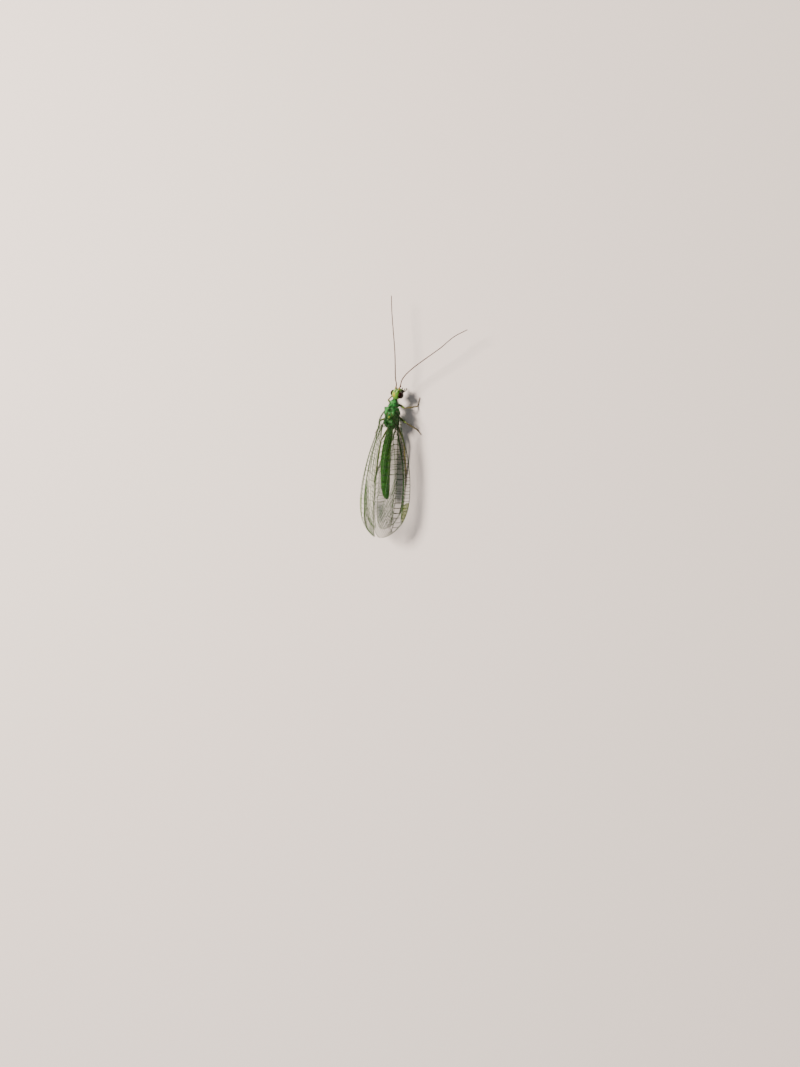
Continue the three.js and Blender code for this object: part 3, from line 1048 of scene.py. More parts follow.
@dataclass(frozen=True)
class Thorax:
    """The prothorax and the two wing-bearing segments behind it."""

    pronotum: tuple[Point, Point] = ((-0.05, 0.6, 1.57), (0.0, 1.18, 1.57))
    pronotum_width: float = 0.475
    pronotum_height: float = 0.34
    pronotum_square: float = 0.8
    shield_at: Point = (-0.02, 0.9, 1.8)
    shield: Point = (0.45, 0.28, 0.12)
    joint_at: Point = (0.0, 1.24, 1.62)
    joint: Point = (0.56, 0.28, 0.42)
    core: tuple[Point, Point] = ((0.0, 1.34, 1.62), (0.0, 3.52, 1.68))
    core_width: float = 0.72
    core_height: float = 0.64
    lobes: tuple[tuple[Point, Point], ...] = (
        ((0.19, 1.52, 2.08), (0.24, 0.25, 0.24)),
        ((0.42, 1.6, 1.96), (0.3, 0.24, 0.26)),
        ((0.66, 1.5, 1.9), (0.19, 0.17, 0.15)),
        ((0.36, 1.95, 2.1), (0.34, 0.36, 0.3)),
        ((0.0, 2.06, 2.22), (0.2, 0.34, 0.16)),
        ((0.0, 2.42, 2.24), (0.26, 0.19, 0.17)),
        ((0.32, 2.88, 2.08), (0.32, 0.34, 0.28)),
        ((0.0, 2.84, 2.14), (0.16, 0.26, 0.16)),
        ((0.0, 3.28, 2.08), (0.22, 0.16, 0.16)),
        ((0.5, 1.86, 1.52), (0.28, 0.4, 0.46)),
        ((0.5, 2.42, 1.46), (0.24, 0.22, 0.36)),
        ((0.5, 2.96, 1.48), (0.27, 0.36, 0.44)),
        ((0.62, 1.82, 2.04), (0.13, 0.17, 0.09)),
        ((0.56, 2.8, 2.02), (0.12, 0.15, 0.08)),
        ((0.28, 1.06, 1.28), (0.19, 0.25, 0.26)),
        ((0.32, 2.16, 1.1), (0.25, 0.32, 0.26)),
        ((0.32, 3.06, 1.08), (0.25, 0.32, 0.26)),
    )
    flow: float = 0.5
    flow_rounds: int = 34

    def pronotum_section(self, share: Array, angle: Array) -> tuple[Array, Array]:
        """Give the sections of the shield behind the head, which is low like a saddle in its middle.

        Args:
            share: Share of the length.
            angle: Angle from the insect's left through its top.

        Returns:
            The half width and the half height.
        """
        taper = rounded(share, 5) * (0.84 + 0.16 * share)
        saddle = 1 - 0.08 * bump(share - 0.45, 0.14) * (np.sin(angle) > 0)
        return self.pronotum_width * taper * saddle, self.pronotum_height * taper * saddle

    def core_section(self, share: Array, angle: Array) -> tuple[Array, Array]:
        """Give the sections of the core of the two wing-bearing segments.

        Args:
            share: Share of the length.
            angle: Angle from the insect's left through its top.

        Returns:
            The half width and the half height.
        """
        taper = rounded(share, 3.2)
        waist = 1 - 0.06 * bump(share - 0.52, 0.06)
        keel = 1 + 0.03 * np.cos(angle) ** 2
        return self.core_width * taper * waist * keel, self.core_height * taper * waist * keel

    def flowed(self, solid: Solid) -> Solid:
        """Let the thorax's plates flow into one another, while head and abdomen keep their edges.

        Args:
            solid: The trunk.

        Returns:
            The trunk with its thorax evened out.
        """
        y = solid.points[:, 1]
        share = self.flow * np.clip((y - 0.5) / 0.2, 0, 1) * np.clip((3.5 - y) / 0.15, 0, 1)
        return Solid(averaged(solid.triangles, solid.points, self.flow_rounds, share[:, None]), solid.triangles)

    def soft(self) -> list[Part]:
        """Build the forms that flow into one another.

        Returns:
            The forms.
        """
        forms = [
            barrel(self.pronotum, self.pronotum_section, square=self.pronotum_square),
            ellipsoid(self.shield_at, self.shield),
            ellipsoid(self.joint_at, self.joint),
            barrel(self.core, self.core_section),
        ]
        for centre, radii in self.lobes:
            sides = SIDES.values() if centre[0] else (1,)
            forms += [ellipsoid(flip(centre, side), radii) for side in sides]
        axis = ((0.0, 0.5, 1.62), (0.0, 3.7, 1.62))
        return [Part(form, Tissue.THORAX, axis) for form in forms]


@dataclass(frozen=True)
class Abdomen:
    """The abdomen: nine rings, each a plate above and one below with soft skin between."""

    spine: Course = ((0.0, 3.36, 1.6), (0.16, 6.0, 1.56), (0.0, 8.2, 1.46), (-0.32, 10.52, 1.32))
    width: float = 0.51
    height: float = 0.45
    segments: int = 9
    step: float = 0.06  # how far a plate's rim stands out of the next
    fold: float = 0.1  # depth of the fold along the side
    fold_angle: float = math.radians(-14)
    fold_width: float = math.radians(15)
    full: float = 0.08  # how much it fills out in its middle
    tip_at: Point = (-0.35, 10.36, 1.26)
    tip: Point = (0.17, 0.2, 0.2)

    def section(self, share: Array, angle: Array) -> tuple[Array, Array]:
        """Give the abdomen's sections, with its rings and the fold along its side.

        Args:
            share: Share of the length.
            angle: Angle from the insect's left through its top.

        Returns:
            The half width and the half height.
        """
        slim = 1 - 0.22 * (1 - share) ** 2 - 0.14 * share**3 + self.full * bump(share - 0.5, 0.2)
        at = (share * self.segments) % 1
        rim = 1 - self.step * (np.clip(1 - 3.2 * at, 0, 1) ** 1.5) - 0.35 * self.step * bump(at - 1, 0.07)
        swell = 1 + 0.02 * np.sin(np.pi * at)
        side = np.where(np.cos(angle) > 0, angle, np.pi - angle)
        side = (side + np.pi) % (2 * np.pi) - np.pi
        crease = 1 - self.fold * bump(side - self.fold_angle, self.fold_width) * rounded(share, 8)
        size = rounded(share, 7) * slim * rim * swell * crease
        return self.width * size, self.height * size

    def soft(self) -> list[Part]:
        """Return the forms that flow into one another."""
        body = barrel(self.spine, self.section, rings=420, around=72)
        axis = ((0.0, 3.4, 1.55), (-0.2, 10.6, 1.35))
        return [Part(body, Tissue.ABDOMEN, axis), Part(ellipsoid(self.tip_at, self.tip), Tissue.ABDOMEN, axis)]


@dataclass(frozen=True)
class Stance:
    """How one leg stands: x outward from the midline, y, and z of its upper joints."""

    side: int
    root: Point
    hip: Point
    knee: Point
    ankle: tuple[float, float]
    toe: tuple[float, float]


STANCES = {
    "front_left": Stance(1, (0.27, 1.1, 1.2), (0.4, 0.93, 0.86), (0.85, 0.62, 1.05), (0.62, -0.12), (0.42, -0.68)),
    "front_right": Stance(-1, (0.27, 1.1, 1.2), (0.44, 0.98, 0.84), (1.15, 1.3, 1.35), (2.03, 0.9), (2.14, 0.1)),
    "mid_left": Stance(1, (0.34, 2.2, 1.1), (0.5, 2.24, 0.76), (1.4, 2.75, 1.2), (1.9, 3.3), (2.2, 3.95)),
    "mid_right": Stance(-1, (0.34, 2.2, 1.1), (0.5, 2.24, 0.76), (1.5, 2.75, 1.2), (2.27, 3.2), (2.7, 3.62)),
    "hind_left": Stance(1, (0.34, 3.1, 1.08), (0.5, 3.2, 0.74), (1.25, 4.75, 0.62), (1.6, 7.9), (1.72, 9.05)),
    "hind_right": Stance(-1, (0.34, 3.1, 1.08), (0.5, 3.2, 0.74), (1.28, 4.7, 0.62), (1.68, 7.8), (1.78, 8.95)),
}


@dataclass(frozen=True)
class Leg:
    """A leg of coxa, trochanter, femur, tibia and a foot of five joints, with two claws and a pad."""

    stance: Stance
    coxa: float = 0.15
    trochanter: float = 0.09
    femur: float = 0.105
    tibia: float = 0.068
    tarsus: float = 0.05
    heel: float = 0.09  # height of the end of the tibia
    joints: tuple[float, ...] = (0.36, 0.17, 0.13, 0.12, 0.22)
    claw_length: float = 0.13
    claw_radius: float = 0.02
    claw_spread: float = math.radians(28)
    spur: float = 0.13

    def places(self) -> tuple[Array, Array, Array, Array, Array]:
        """Find the joints on the leg's own side.

        Returns:
            Root, hip, knee, ankle and toe.
        """
        s = self.stance
        given = (s.root, s.hip, s.knee, (*s.ankle, self.heel), (*s.toe, self.tarsus * 0.95))
        root, hip, knee, ankle, toe = (np.array(flip(p, s.side)) for p in given)
        return root, hip, knee, ankle, toe

    def fine(self) -> list[Part]:
        """Build the leg from coxa to foot, with the spurs of its shin.

        Returns:
            The forms.
        """
        root, hip, knee, ankle, toe = self.places()
        thigh = unit(knee - hip)
        start = hip + thigh * 0.06
        bow = 0.05 * UP
        shin = smooth_path([knee, (knee + ankle) / 2 + bow, ankle], 0.05)
        found = [
            (np.array([root, hip]), [1.1, 1.0, 0.7], self.coxa, Tissue.COXA, 24),
            (np.array([hip - thigh * 0.06, hip + thigh * 0.14]), [0.9, 1.05, 0.9], self.trochanter, Tissue.FEMUR, 12),
            (smooth_path([start, (start + knee) / 2 + bow, knee], 0.05), [0.72, 1, 1.02, 0.86, 0.66], self.femur,
             Tissue.FEMUR, 40),
            (shin, [0.95, 0.82, 1.0, 1.0, 0.86, 1.0], self.tibia, Tissue.TIBIA, 60),
        ]
        parts = [
            Part(capsule(path, profile, radius, 16, 0.9, 1, rings), tissue, (path[0], path[-1]))
            for path, profile, radius, tissue, rings in found
        ]
        along = toe - ankle
        reach = np.cumsum((0, *self.joints))
        for i, (a, b) in enumerate(zip(reach[:-1], reach[1:])):
            size = self.tarsus * (1 - 0.06 * i)
            lift = 0.012 * UP
            path = np.array([ankle + along * a, ankle + along * b])
            path[:, 2] = np.clip(path[:, 2], size * 1.02, None)
            path[0] += lift
            joint = capsule(path, [0.72, 0.9, 1.0, 0.92], size, 14, 0.7, 0.9, 14)
            parts.append(Part(joint, Tissue.TARSUS, (path[0], path[1])))
        for turn in (-1, 1):
            way = unit(unit(ankle - knee) + unit(along) * 0.5 + turn * 0.35 * unit(np.cross(along, UP)))
            path = np.array([ankle + 0.02 * UP, ankle + way * self.spur])
            path[:, 2] = np.clip(path[:, 2], 0.02, None)
            parts.append(Part(capsule(path, [1, 0.7, 0.3], 0.018, 8, 0.5, 1, 8), Tissue.TIBIA, (path[0], path[1])))
        return parts

    def tanned(self, points: Array, colours: Array) -> Array:
        """Darken the leg at its hip, knee and ankle.

        Args:
            points: Places on the skin.
            colours: Their colours.

        Returns:
            The new colours.
        """
        _, hip, knee, ankle, _ = self.places()
        for start, end, radius, strength in (
            (hip, hip + 0.35 * (knee - hip), 0.2, 0.6),
            (knee, knee + 0.04 * (ankle - knee), 0.14, 0.5),
            (ankle - 0.06 * (ankle - knee), ankle, 0.1, 0.8),
        ):
            near, gap = near_course(points, smooth_path([start, end], 0.03), radius)
            share = strength * np.clip(1.6 * (1 - gap / radius), 0, 1)
            colours[near] = mix(colours[near], Pigment.FOOT_BROWN.rgb, share)
        return colours

    def hooks(self) -> list[Solid]:
        """Build the two claws, curved down to the floor, and the pad between them.

        Returns:
            The claws and the pad.
        """
        _, _, _, ankle, toe = self.places()
        heading = math.atan2(*(toe - ankle)[[1, 0]])
        found = []
        for turn in (-1, 1):
            angle = heading + turn * self.claw_spread
            ahead = np.array([math.cos(angle), math.sin(angle), 0])
            path = smooth_path(
                [
                    toe + 0.005 * UP - ahead * 0.02,
                    toe + ahead * self.claw_length * 0.55 + 0.03 * UP,
                    toe * np.array([1, 1, 0]) + ahead * self.claw_length + 0.012 * UP,
                ],
                0.012,
            )
            found.append(capsule(path, [1.1, 1, 0.7, 0.3], self.claw_radius, 10, 0.6, 1, 14))
        ahead = np.array([math.cos(heading), math.sin(heading), 0])
        pad = toe + ahead * 0.05
        found.append(ellipsoid((pad[0], pad[1], 0.03), (0.035, 0.045, 0.026), 14, 10))
        return found


# Markings and furrows of the skin

@dataclass(frozen=True)
class Mark:
    """A patch of colour on the skin, most of them pigment and a few painted shade: its middle line, its half width in
    mm, and its strength.
    """

    path: Course
    radius: float
    pigment: Pigment
    strength: float = 1.0
    on_head: bool = False
    mirrored: bool = True

    def courses(self) -> list[Array]:
        """Return the mark's middle line in the insect's frame, on each side that has it."""
        sides = (1, -1) if self.mirrored else (1,)
        found = [smooth_path([flip(p, side) for p in self.path], 0.02) for side in sides]
        return [HEAD.out(course) if self.on_head else course for course in found]


@dataclass(frozen=True)
class Furrow:
    """A seam between plates of the skin: its course, half width and depth in mm."""

    path: Course
    width: float = 0.028
    depth: float = 0.022
    on_head: bool = False
    mirrored: bool = True

    def courses(self) -> list[Array]:
        """Return the seam's course in the insect's frame, on each side that has it."""
        return Mark(self.path, 0, Pigment.BLACK, 1, self.on_head, self.mirrored).courses()


MARKS = (
    Mark(((0.03, 0.08, 0.46), (0.03, 0.24, 0.44)), 0.14, Pigment.HEAD_YELLOW, 0.95, True, False),
    Mark(((0.13, -0.42, 0.36), (0.15, -0.14, 0.44)), 0.05, Pigment.HEAD_PALE, 0.9, True),
    Mark(((-0.01, -0.3, 0.38), (-0.01, -0.18, 0.44)), 0.055, Pigment.BLACK, 0.95, True, False),
    Mark(((0.35, -0.38, 0.25), (0.38, -0.29, 0.3)), 0.06, Pigment.BLACK, 0.95, True),
    Mark(((0.1, -0.5, 0.05), (0.0, -0.53, -0.03)), 0.05, Pigment.BLACK, 0.8, True),
    Mark(((0.43, -0.28, -0.12), (0.38, -0.36, -0.34), (0.3, -0.44, -0.54)), 0.17, Pigment.BLACK, 1.0, True),
    Mark(((0.28, -0.42, -0.56), (0.2, -0.52, -0.72)), 0.12, Pigment.BLACK, 0.9, True),
    Mark(((0.18, -0.6, -0.44), (0.26, -0.5, -0.44)), 0.05, Pigment.BLACK, 0.9, True),
    Mark(((0.14, 0.66, 1.93), (0.12, 1.14, 1.93)), 0.08, Pigment.THORAX_LIGHT, 0.7),
    Mark(((0.38, 0.7, 1.8), (0.42, 1.1, 1.8)), 0.07, Pigment.THORAX_DEEP, 0.85),
    Mark(((0.2, 0.98, 1.92), (0.3, 1.06, 1.9)), 0.045, Pigment.BLACK, 0.7),
    Mark(((0.4, 1.5, 2.2), (0.44, 2.0, 2.32)), 0.14, Pigment.THORAX_LIGHT, 0.75),
    Mark(((0.0, 1.4, 2.2), (0.0, 1.7, 2.3), (0.0, 2.22, 2.35)), 0.085, Pigment.THORAX_DEEP, 0.95, mirrored=False),
    Mark(((0.1, 1.56, 2.3), (0.2, 1.8, 2.32)), 0.06, Pigment.BLACK, 0.75),
    Mark(((0.22, 2.04, 2.35), (0.3, 2.26, 2.3)), 0.06, Pigment.FOOT_BROWN, 0.8),
    Mark(((0.0, 2.36, 2.42), (0.0, 2.5, 2.42)), 0.11, Pigment.HEAD_YELLOW, 0.5, mirrored=False),
    # painted shade over the metathorax, under the wing bases
    Mark(((0.24, 2.62, 2.3), (0.26, 3.2, 2.3)), 0.3, Pigment.THORAX_DEEP, 0.85),
    Mark(((0.36, 2.88, 2.36), (0.3, 3.1, 2.3)), 0.1, Pigment.THORAX_LIGHT, 0.5),
    # painted shade on the right side of the mesothorax, the side turned away from the key light
    Mark(((-0.46, 1.5, 2.2), (-0.52, 2.3, 2.2)), 0.24, Pigment.THORAX_DEEP, 0.8, mirrored=False),
    # painted shade in the grooves between mesothorax and metathorax, two spots a side
    Mark(((0.5, 2.66, 2.2), (0.52, 2.76, 2.22)), 0.09, Pigment.BLACK, 1.0),
    Mark(((0.08, 2.64, 2.3), (0.16, 2.72, 2.3)), 0.06, Pigment.BLACK, 0.95),
    Mark(((0.5, 2.34, 2.1), (0.3, 2.58, 2.24)), 0.045, Pigment.BLACK, 0.9),
    # painted shade along the V-shaped groove between mesothorax and metathorax
    Mark(((0.38, 2.86, 2.3), (0.2, 3.0, 2.3), (0.06, 3.1, 2.26)), 0.05, Pigment.BLACK, 0.9),
    # painted shade in the crease where the thorax meets the abdomen
    Mark(((0.3, 3.36, 2.1), (0.1, 3.5, 2.1)), 0.06, Pigment.SEAM_DARK, 0.8),
    Mark(((0.62, 1.76, 2.12), (0.62, 1.98, 2.1)), 0.06, Pigment.FOOT_BROWN, 0.85),
    Mark(((0.76, 1.42, 1.9), (0.74, 1.56, 1.9)), 0.06, Pigment.THORAX_DEEP, 0.9),
    Mark(((0.78, 1.8, 1.5), (0.72, 2.5, 1.3), (0.76, 3.0, 1.4)), 0.1, Pigment.THORAX_DEEP, 0.8),
)

FURROWS = (
    Furrow(((0.0, -0.2, 0.45), (0.0, 0.3, 0.42)), 0.02, 0.012, True, False),
    Furrow(((0.0, -0.56, -0.34), (0.14, -0.55, -0.36), (0.27, -0.45, -0.34)), 0.022, 0.02, True),
    Furrow(((0.0, -0.62, -0.5), (0.12, -0.6, -0.5), (0.22, -0.52, -0.5)), 0.02, 0.018, True),
    Furrow(((0.0, 0.92, 1.93), (0.2, 0.93, 1.9), (0.4, 0.96, 1.78), (0.46, 0.98, 1.6))),
    Furrow(((0.0, 1.36, 2.16), (0.2, 1.62, 2.36), (0.16, 2.18, 2.4)), 0.024, 0.02),
    Furrow(((0.0, 2.24, 2.4), (0.18, 2.3, 2.36), (0.24, 2.46, 2.3), (0.4, 2.56, 2.2)), 0.026, 0.03),
    Furrow(((0.66, 2.2, 2.0), (0.7, 2.3, 1.7), (0.66, 2.5, 1.3), (0.5, 2.62, 1.0)), 0.03, 0.035),
    Furrow(((0.66, 1.7, 1.9), (0.78, 1.9, 1.6), (0.7, 2.1, 1.2)), 0.022, 0.022),
    Furrow(((0.62, 2.7, 1.9), (0.74, 2.9, 1.6), (0.66, 3.05, 1.2)), 0.022, 0.022),
    Furrow(((0.0, 3.12, 2.28), (0.16, 3.2, 2.22), (0.3, 3.36, 2.1)), 0.024, 0.022),
)


def near_course(points: Array, course: Array, reach: float) -> tuple[Array, Array]:
    """Find the points near a course.

    Args:
        points: Points to test.
        course: Points along the course.
        reach: How near they have to be.

    Returns:
        The numbers of the near points, and their distances from the course.
    """
    low, high = course.min(0) - reach, course.max(0) + reach
    inside = np.flatnonzero(((points > low) & (points < high)).all(1))
    if not len(inside):
        return inside, np.zeros(0)
    gaps = np.linalg.norm(points[inside][:, None] - course[None], axis=2).min(1)
    near = gaps < reach
    return inside[near], gaps[near]


@dataclass
class Skin:
    """One closed skin over head, trunk and legs, with its seams and markings."""

    head: Head = Head()
    thorax: Thorax = Thorax()
    abdomen: Abdomen = Abdomen()
    voxel: float = 0.027
    eye_rim: float = 0.03  # depth and width of the groove round each eye
    sharp: float = math.radians(50)  # edges above this angle stay sharp
    parts: list[Part] = field(default_factory=list)
    mottle: float = 0.19  # size of the thorax's cloudy patches
    hollow: float = 0.007  # depth at which a hollow has its full painted shade
    solid: Solid | None = None
    owner: Array | None = None
    normals: Array | None = None
    nearest: kdtree.KDTree | None = None

    def legs(self) -> list[Leg]:
        """Return the six legs; the hind ones have slimmer thighs and stouter shins."""
        hind = {"femur": 0.09, "tibia": 0.075}
        return [Leg(stance, **(hind if name.startswith("hind") else {})) for name, stance in STANCES.items()]

    def trunk(self) -> Solid:
        """Grow the soft forms into one smooth surface.

        Returns:
            The surface.
        """
        forms = [*self.head.soft(), *self.thorax.soft(), *self.abdomen.soft()]
        self.parts += forms
        rough = Solid.joined(part.solid for part in forms).to_object("trunk_forms")
        grid = rough.modifiers.new("grid", "REMESH")
        grid.mode = "VOXEL"
        grid.voxel_size = self.voxel
        grown = Solid.of_object(rough)
        bpy.data.objects.remove(rough)
        return self.thorax.flowed(self.smoothed(grown, 6))

    @staticmethod
    def smoothed(solid: Solid, rounds: int) -> Solid:
        """Even out a surface without shrinking it, by pairs of a smoothing and a swelling pass.

        Args:
            solid: The surface.
            rounds: Number of pairs.

        Returns:
            The smooth surface.
        """
        points = solid.points
        for step in (0.55, -0.57) * rounds:
            points = averaged(solid.triangles, points, 1, step)
        return Solid(points, solid.triangles)

    def build(self) -> Piece:
        """Unite trunk and limbs, carve the seams, paint the markings and dress the skin.

        Returns:
            The skin.
        """
        trunk = self.trunk().to_object("skin")
        fine = [*self.head.fine(), *(part for leg in self.legs() for part in leg.fine())]
        self.parts += fine
        limbs = bpy.data.collections.new("limbs")
        for i, part in enumerate(fine):
            limb = part.solid.to_object(f"limb_{i}")
            bpy.context.scene.collection.objects.unlink(limb)
            limbs.objects.link(limb)
        bpy.context.scene.collection.children.link(limbs)
        union = trunk.modifiers.new("union", "BOOLEAN")
        union.operation = "UNION"
        union.operand_type = "COLLECTION"
        union.collection = limbs
        union.solver = "MANIFOLD"
        self.solid = Solid.of_object(trunk)
        for limb in list(limbs.objects):
            bpy.data.objects.remove(limb)
        bpy.data.collections.remove(limbs)
        bpy.data.objects.remove(trunk)
        self.find_owners()
        self.carve()
        skin = self.solid.to_object("skin", PLACE.row)
        skin.data.set_sharp_from_angle(angle=self.sharp)
        paint(skin, self.pigments())
        set_bake_map(skin, self.unwrapped(self.solid.points, self.owner))
        legs = [f"leg_{name}" for name in STANCES]
        return dress(skin, Surface.SKIN, "cuticle", "head", "prothorax", "thorax", "abdomen", *legs)

    def claws(self) -> Piece:
        """Build the twelve claws and six pads as one piece.

        Returns:
            The piece.
        """
        hooks = [hook for leg in self.legs() for hook in leg.hooks()]
        return dress(Solid.joined(hooks).to_object("claws", PLACE.row), Surface.CLAW, "leg")

    def find_owners(self) -> None:
        """Note for each point of the skin the part that it came from."""
        sizes = [len(part.solid.points) for part in self.parts]
        tree = tree_of(np.vstack([part.solid.points for part in self.parts]))
        found = [tree.find(point)[1] for point in self.solid.points]
        self.owner = np.repeat(np.arange(len(sizes)), sizes)[found]

    def vertex_normals(self) -> Array:
        """Work out the skin's normals.

        Returns:
            One normal for each point.
        """
        a, b, c = (self.solid.points[self.solid.triangles[:, k]] for k in range(3))
        face = np.cross(b - a, c - a)
        found = np.zeros_like(self.solid.points)
        for k in range(3):
            for axis in range(3):
                found[:, axis] += np.bincount(self.solid.triangles[:, k], face[:, axis], len(found))
        return unit(found)

    def carve(self) -> None:
        """Press the seams into the skin, and a groove round each eye."""
        points = self.solid.points
        inward = -self.vertex_normals()
        depth = np.zeros(len(points))
        for furrow in FURROWS:
            for near, gap in self.near(furrow, 3 * furrow.width):
                depth[near] = np.maximum(depth[near], furrow.depth * bump(gap, furrow.width))
        for side in SIDES.values():
            centre = HEAD.out(np.array(flip(HEAD.eye, side)))
            gap = (np.linalg.norm((points - centre) / np.array(CompoundEye.radii), axis=1) - 1.04) * 0.33
            depth = np.maximum(depth, self.eye_rim * bump(gap, self.eye_rim))
        self.solid.points = points + inward * depth[:, None]
        self.normals = self.vertex_normals()

    def near(self, line: Mark | Furrow, reach: float) -> Iterator[tuple[Array, Array]]:
        """Find the skin's points along a mark or furrow.

        Args:
            line: The mark or furrow.
            reach: How far off its course a point may be.

        Yields:
            For each of its courses, the points and how far off it they are.
        """
        for course in line.courses():
            yield near_course(self.solid.points, self.snapped(course), reach)

    def snapped(self, course: Array) -> Array:
        """Move a course given near the skin onto it."""
        if self.nearest is None:
            self.nearest = tree_of(self.solid.points)
        return smooth_path([self.nearest.find(point)[0] for point in course[::4]], 0.02)

    def pigments(self) -> Array:
        """Mix the skin's colours: its tissues', painted shade in its hollows and seams, and its marks.

        Returns:
            One colour for each point.
        """
        points, triangles = self.solid.points, self.solid.triangles
        tissues = np.array([part.tissue.pigment.rgb for part in self.parts])
        kinds = np.array([part.tissue.number for part in self.parts])[self.owner]
        trunk = (kinds <= Tissue.COXA.number) & (kinds != Tissue.PALP.number)
        colours = tissues[self.owner]
        colours = averaged(triangles, colours, 14, 0.5 * trunk[:, None])
        colours = averaged(triangles, colours, 2, 0.5)
        colours = self.abdomen_pigment(colours, kinds == Tissue.ABDOMEN.number)
        under = np.clip((1.35 - points[:, 2]) / 0.5, 0, 1) * trunk
        colours = mix(colours, Pigment.MEMBRANE_PALE.rgb, 0.4 * under)
        cloud = np.array([noise.noise(Vector(point) / self.mottle) for point in points])
        thorax = kinds == Tissue.THORAX.number
        colours = mix(colours, Pigment.THORAX_DEEP.rgb, thorax * np.clip(1.6 * cloud, 0, 0.7))
        colours = mix(colours, Pigment.THORAX_LIGHT.rgb, thorax * np.clip(-1.2 * cloud, 0, 0.4))
        # painted shade: the skin darkens in its hollows
        hollow = np.einsum("ij,ij->i", averaged(triangles, points, 14, 0.5) - points, self.normals)
        colours = mix(colours, Pigment.SEAM_DARK.rgb, trunk * np.clip(hollow / self.hollow, 0, 1) * 0.75)
        # painted shade along the seams, in their grooves
        for furrow in FURROWS:
            for near, gap in self.near(furrow, 3 * furrow.width):
                colours[near] = mix(colours[near], Pigment.SEAM_DARK.rgb, 0.8 * bump(gap, furrow.width))
        for mark in MARKS:
            for near, gap in self.near(mark, 2.2 * mark.radius):
                share = mark.strength * np.clip(1.5 - gap / mark.radius * (1 + 0.3 * cloud[near]), 0, 1)
                colours[near] = mix(colours[near], mark.pigment.rgb, share)
        for leg in self.legs():
            colours = leg.tanned(points, colours)
        return colours

    def abdomen_pigment(self, colours: Array, chosen: Array) -> Array:
        """Paint the abdomen: pale along its sides, where its pale side fold runs and painted light lifts the shaded
        flanks, dark at the hind rim of each ring, mottled between.

        Args:
            colours: The skin's colours.
            chosen: Which points are the abdomen's.

        Returns:
            The new colours.
        """
        points = self.solid.points
        abdomen = self.abdomen
        spine = Spline([p[1] for p in abdomen.spine], abdomen.spine)(points[:, 1])
        side = np.abs(points[:, 0] - spine[:, 0]) / abdomen.width
        above = points[:, 2] - spine[:, 2]
        # pale side fold, partly painted light that lifts the shaded flanks, and paler below
        pale = bump(side - 0.93, 0.16) * (above > -0.3) + 0.35 * np.clip(-above / 0.3, 0, 1)
        colours = mix(colours, Pigment.ABDOMEN_LIGHT.rgb, chosen * np.clip(pale, 0, 0.7))
        start, end = abdomen.spine[0][1], abdomen.spine[-1][1]
        ring = (points[:, 1] - start) / (end - start) * abdomen.segments % 1
        cloud = np.array([noise.noise(Vector(point) / 0.13) for point in points])
        deep = 0.8 * bump(ring - 0.96, 0.05) + 0.35 * bump(side, 0.25) + np.clip(0.9 * cloud, 0, 0.5)
        colours = mix(colours, Pigment.ABDOMEN_DEEP.rgb, chosen * np.clip(deep, 0, 0.85))
        spot = bump(ring - 0.12, 0.09) * bump(side - 0.86, 0.09) * (above > -0.15)
        return mix(colours, Pigment.BLACK.rgb, chosen * 0.8 * spot)

    def unwrapped(self, points: Array, owners: Array) -> Array:
        """Unroll the skin about each part's own axis, every part in a cell of its own.

        Args:
            points: Places on the skin.
            owners: The number of the part that each is on.

        Returns:
            One place on the map for each point.
        """
        axes = np.array([[np.asarray(end, float) for end in part.axis] for part in self.parts])
        start, way = axes[:, 0], axes[:, 1] - axes[:, 0]
        length = np.linalg.norm(way, axis=1)
        way = unit(way)
        rest = points - start[owners]
        along = np.einsum("ij,ij->i", rest, way[owners])
        out = rest - along[:, None] * way[owners]
        across = unit(np.cross(way[owners], UP + 1e-4))
        over = np.cross(across, way[owners])
        angle = np.arctan2(np.einsum("ij,ij->i", out, across), np.einsum("ij,ij->i", out, over))
        cells = math.ceil(math.sqrt(len(self.parts)))
        u = np.clip(0.05 + 0.9 * (angle / (2 * np.pi) + 0.5), 0, 1)
        v = np.clip(0.05 + 0.9 * along / np.maximum(length[owners], 1e-6), 0, 1)
        return np.stack([(owners % cells + u) / cells, (owners // cells + v) / cells], 1)


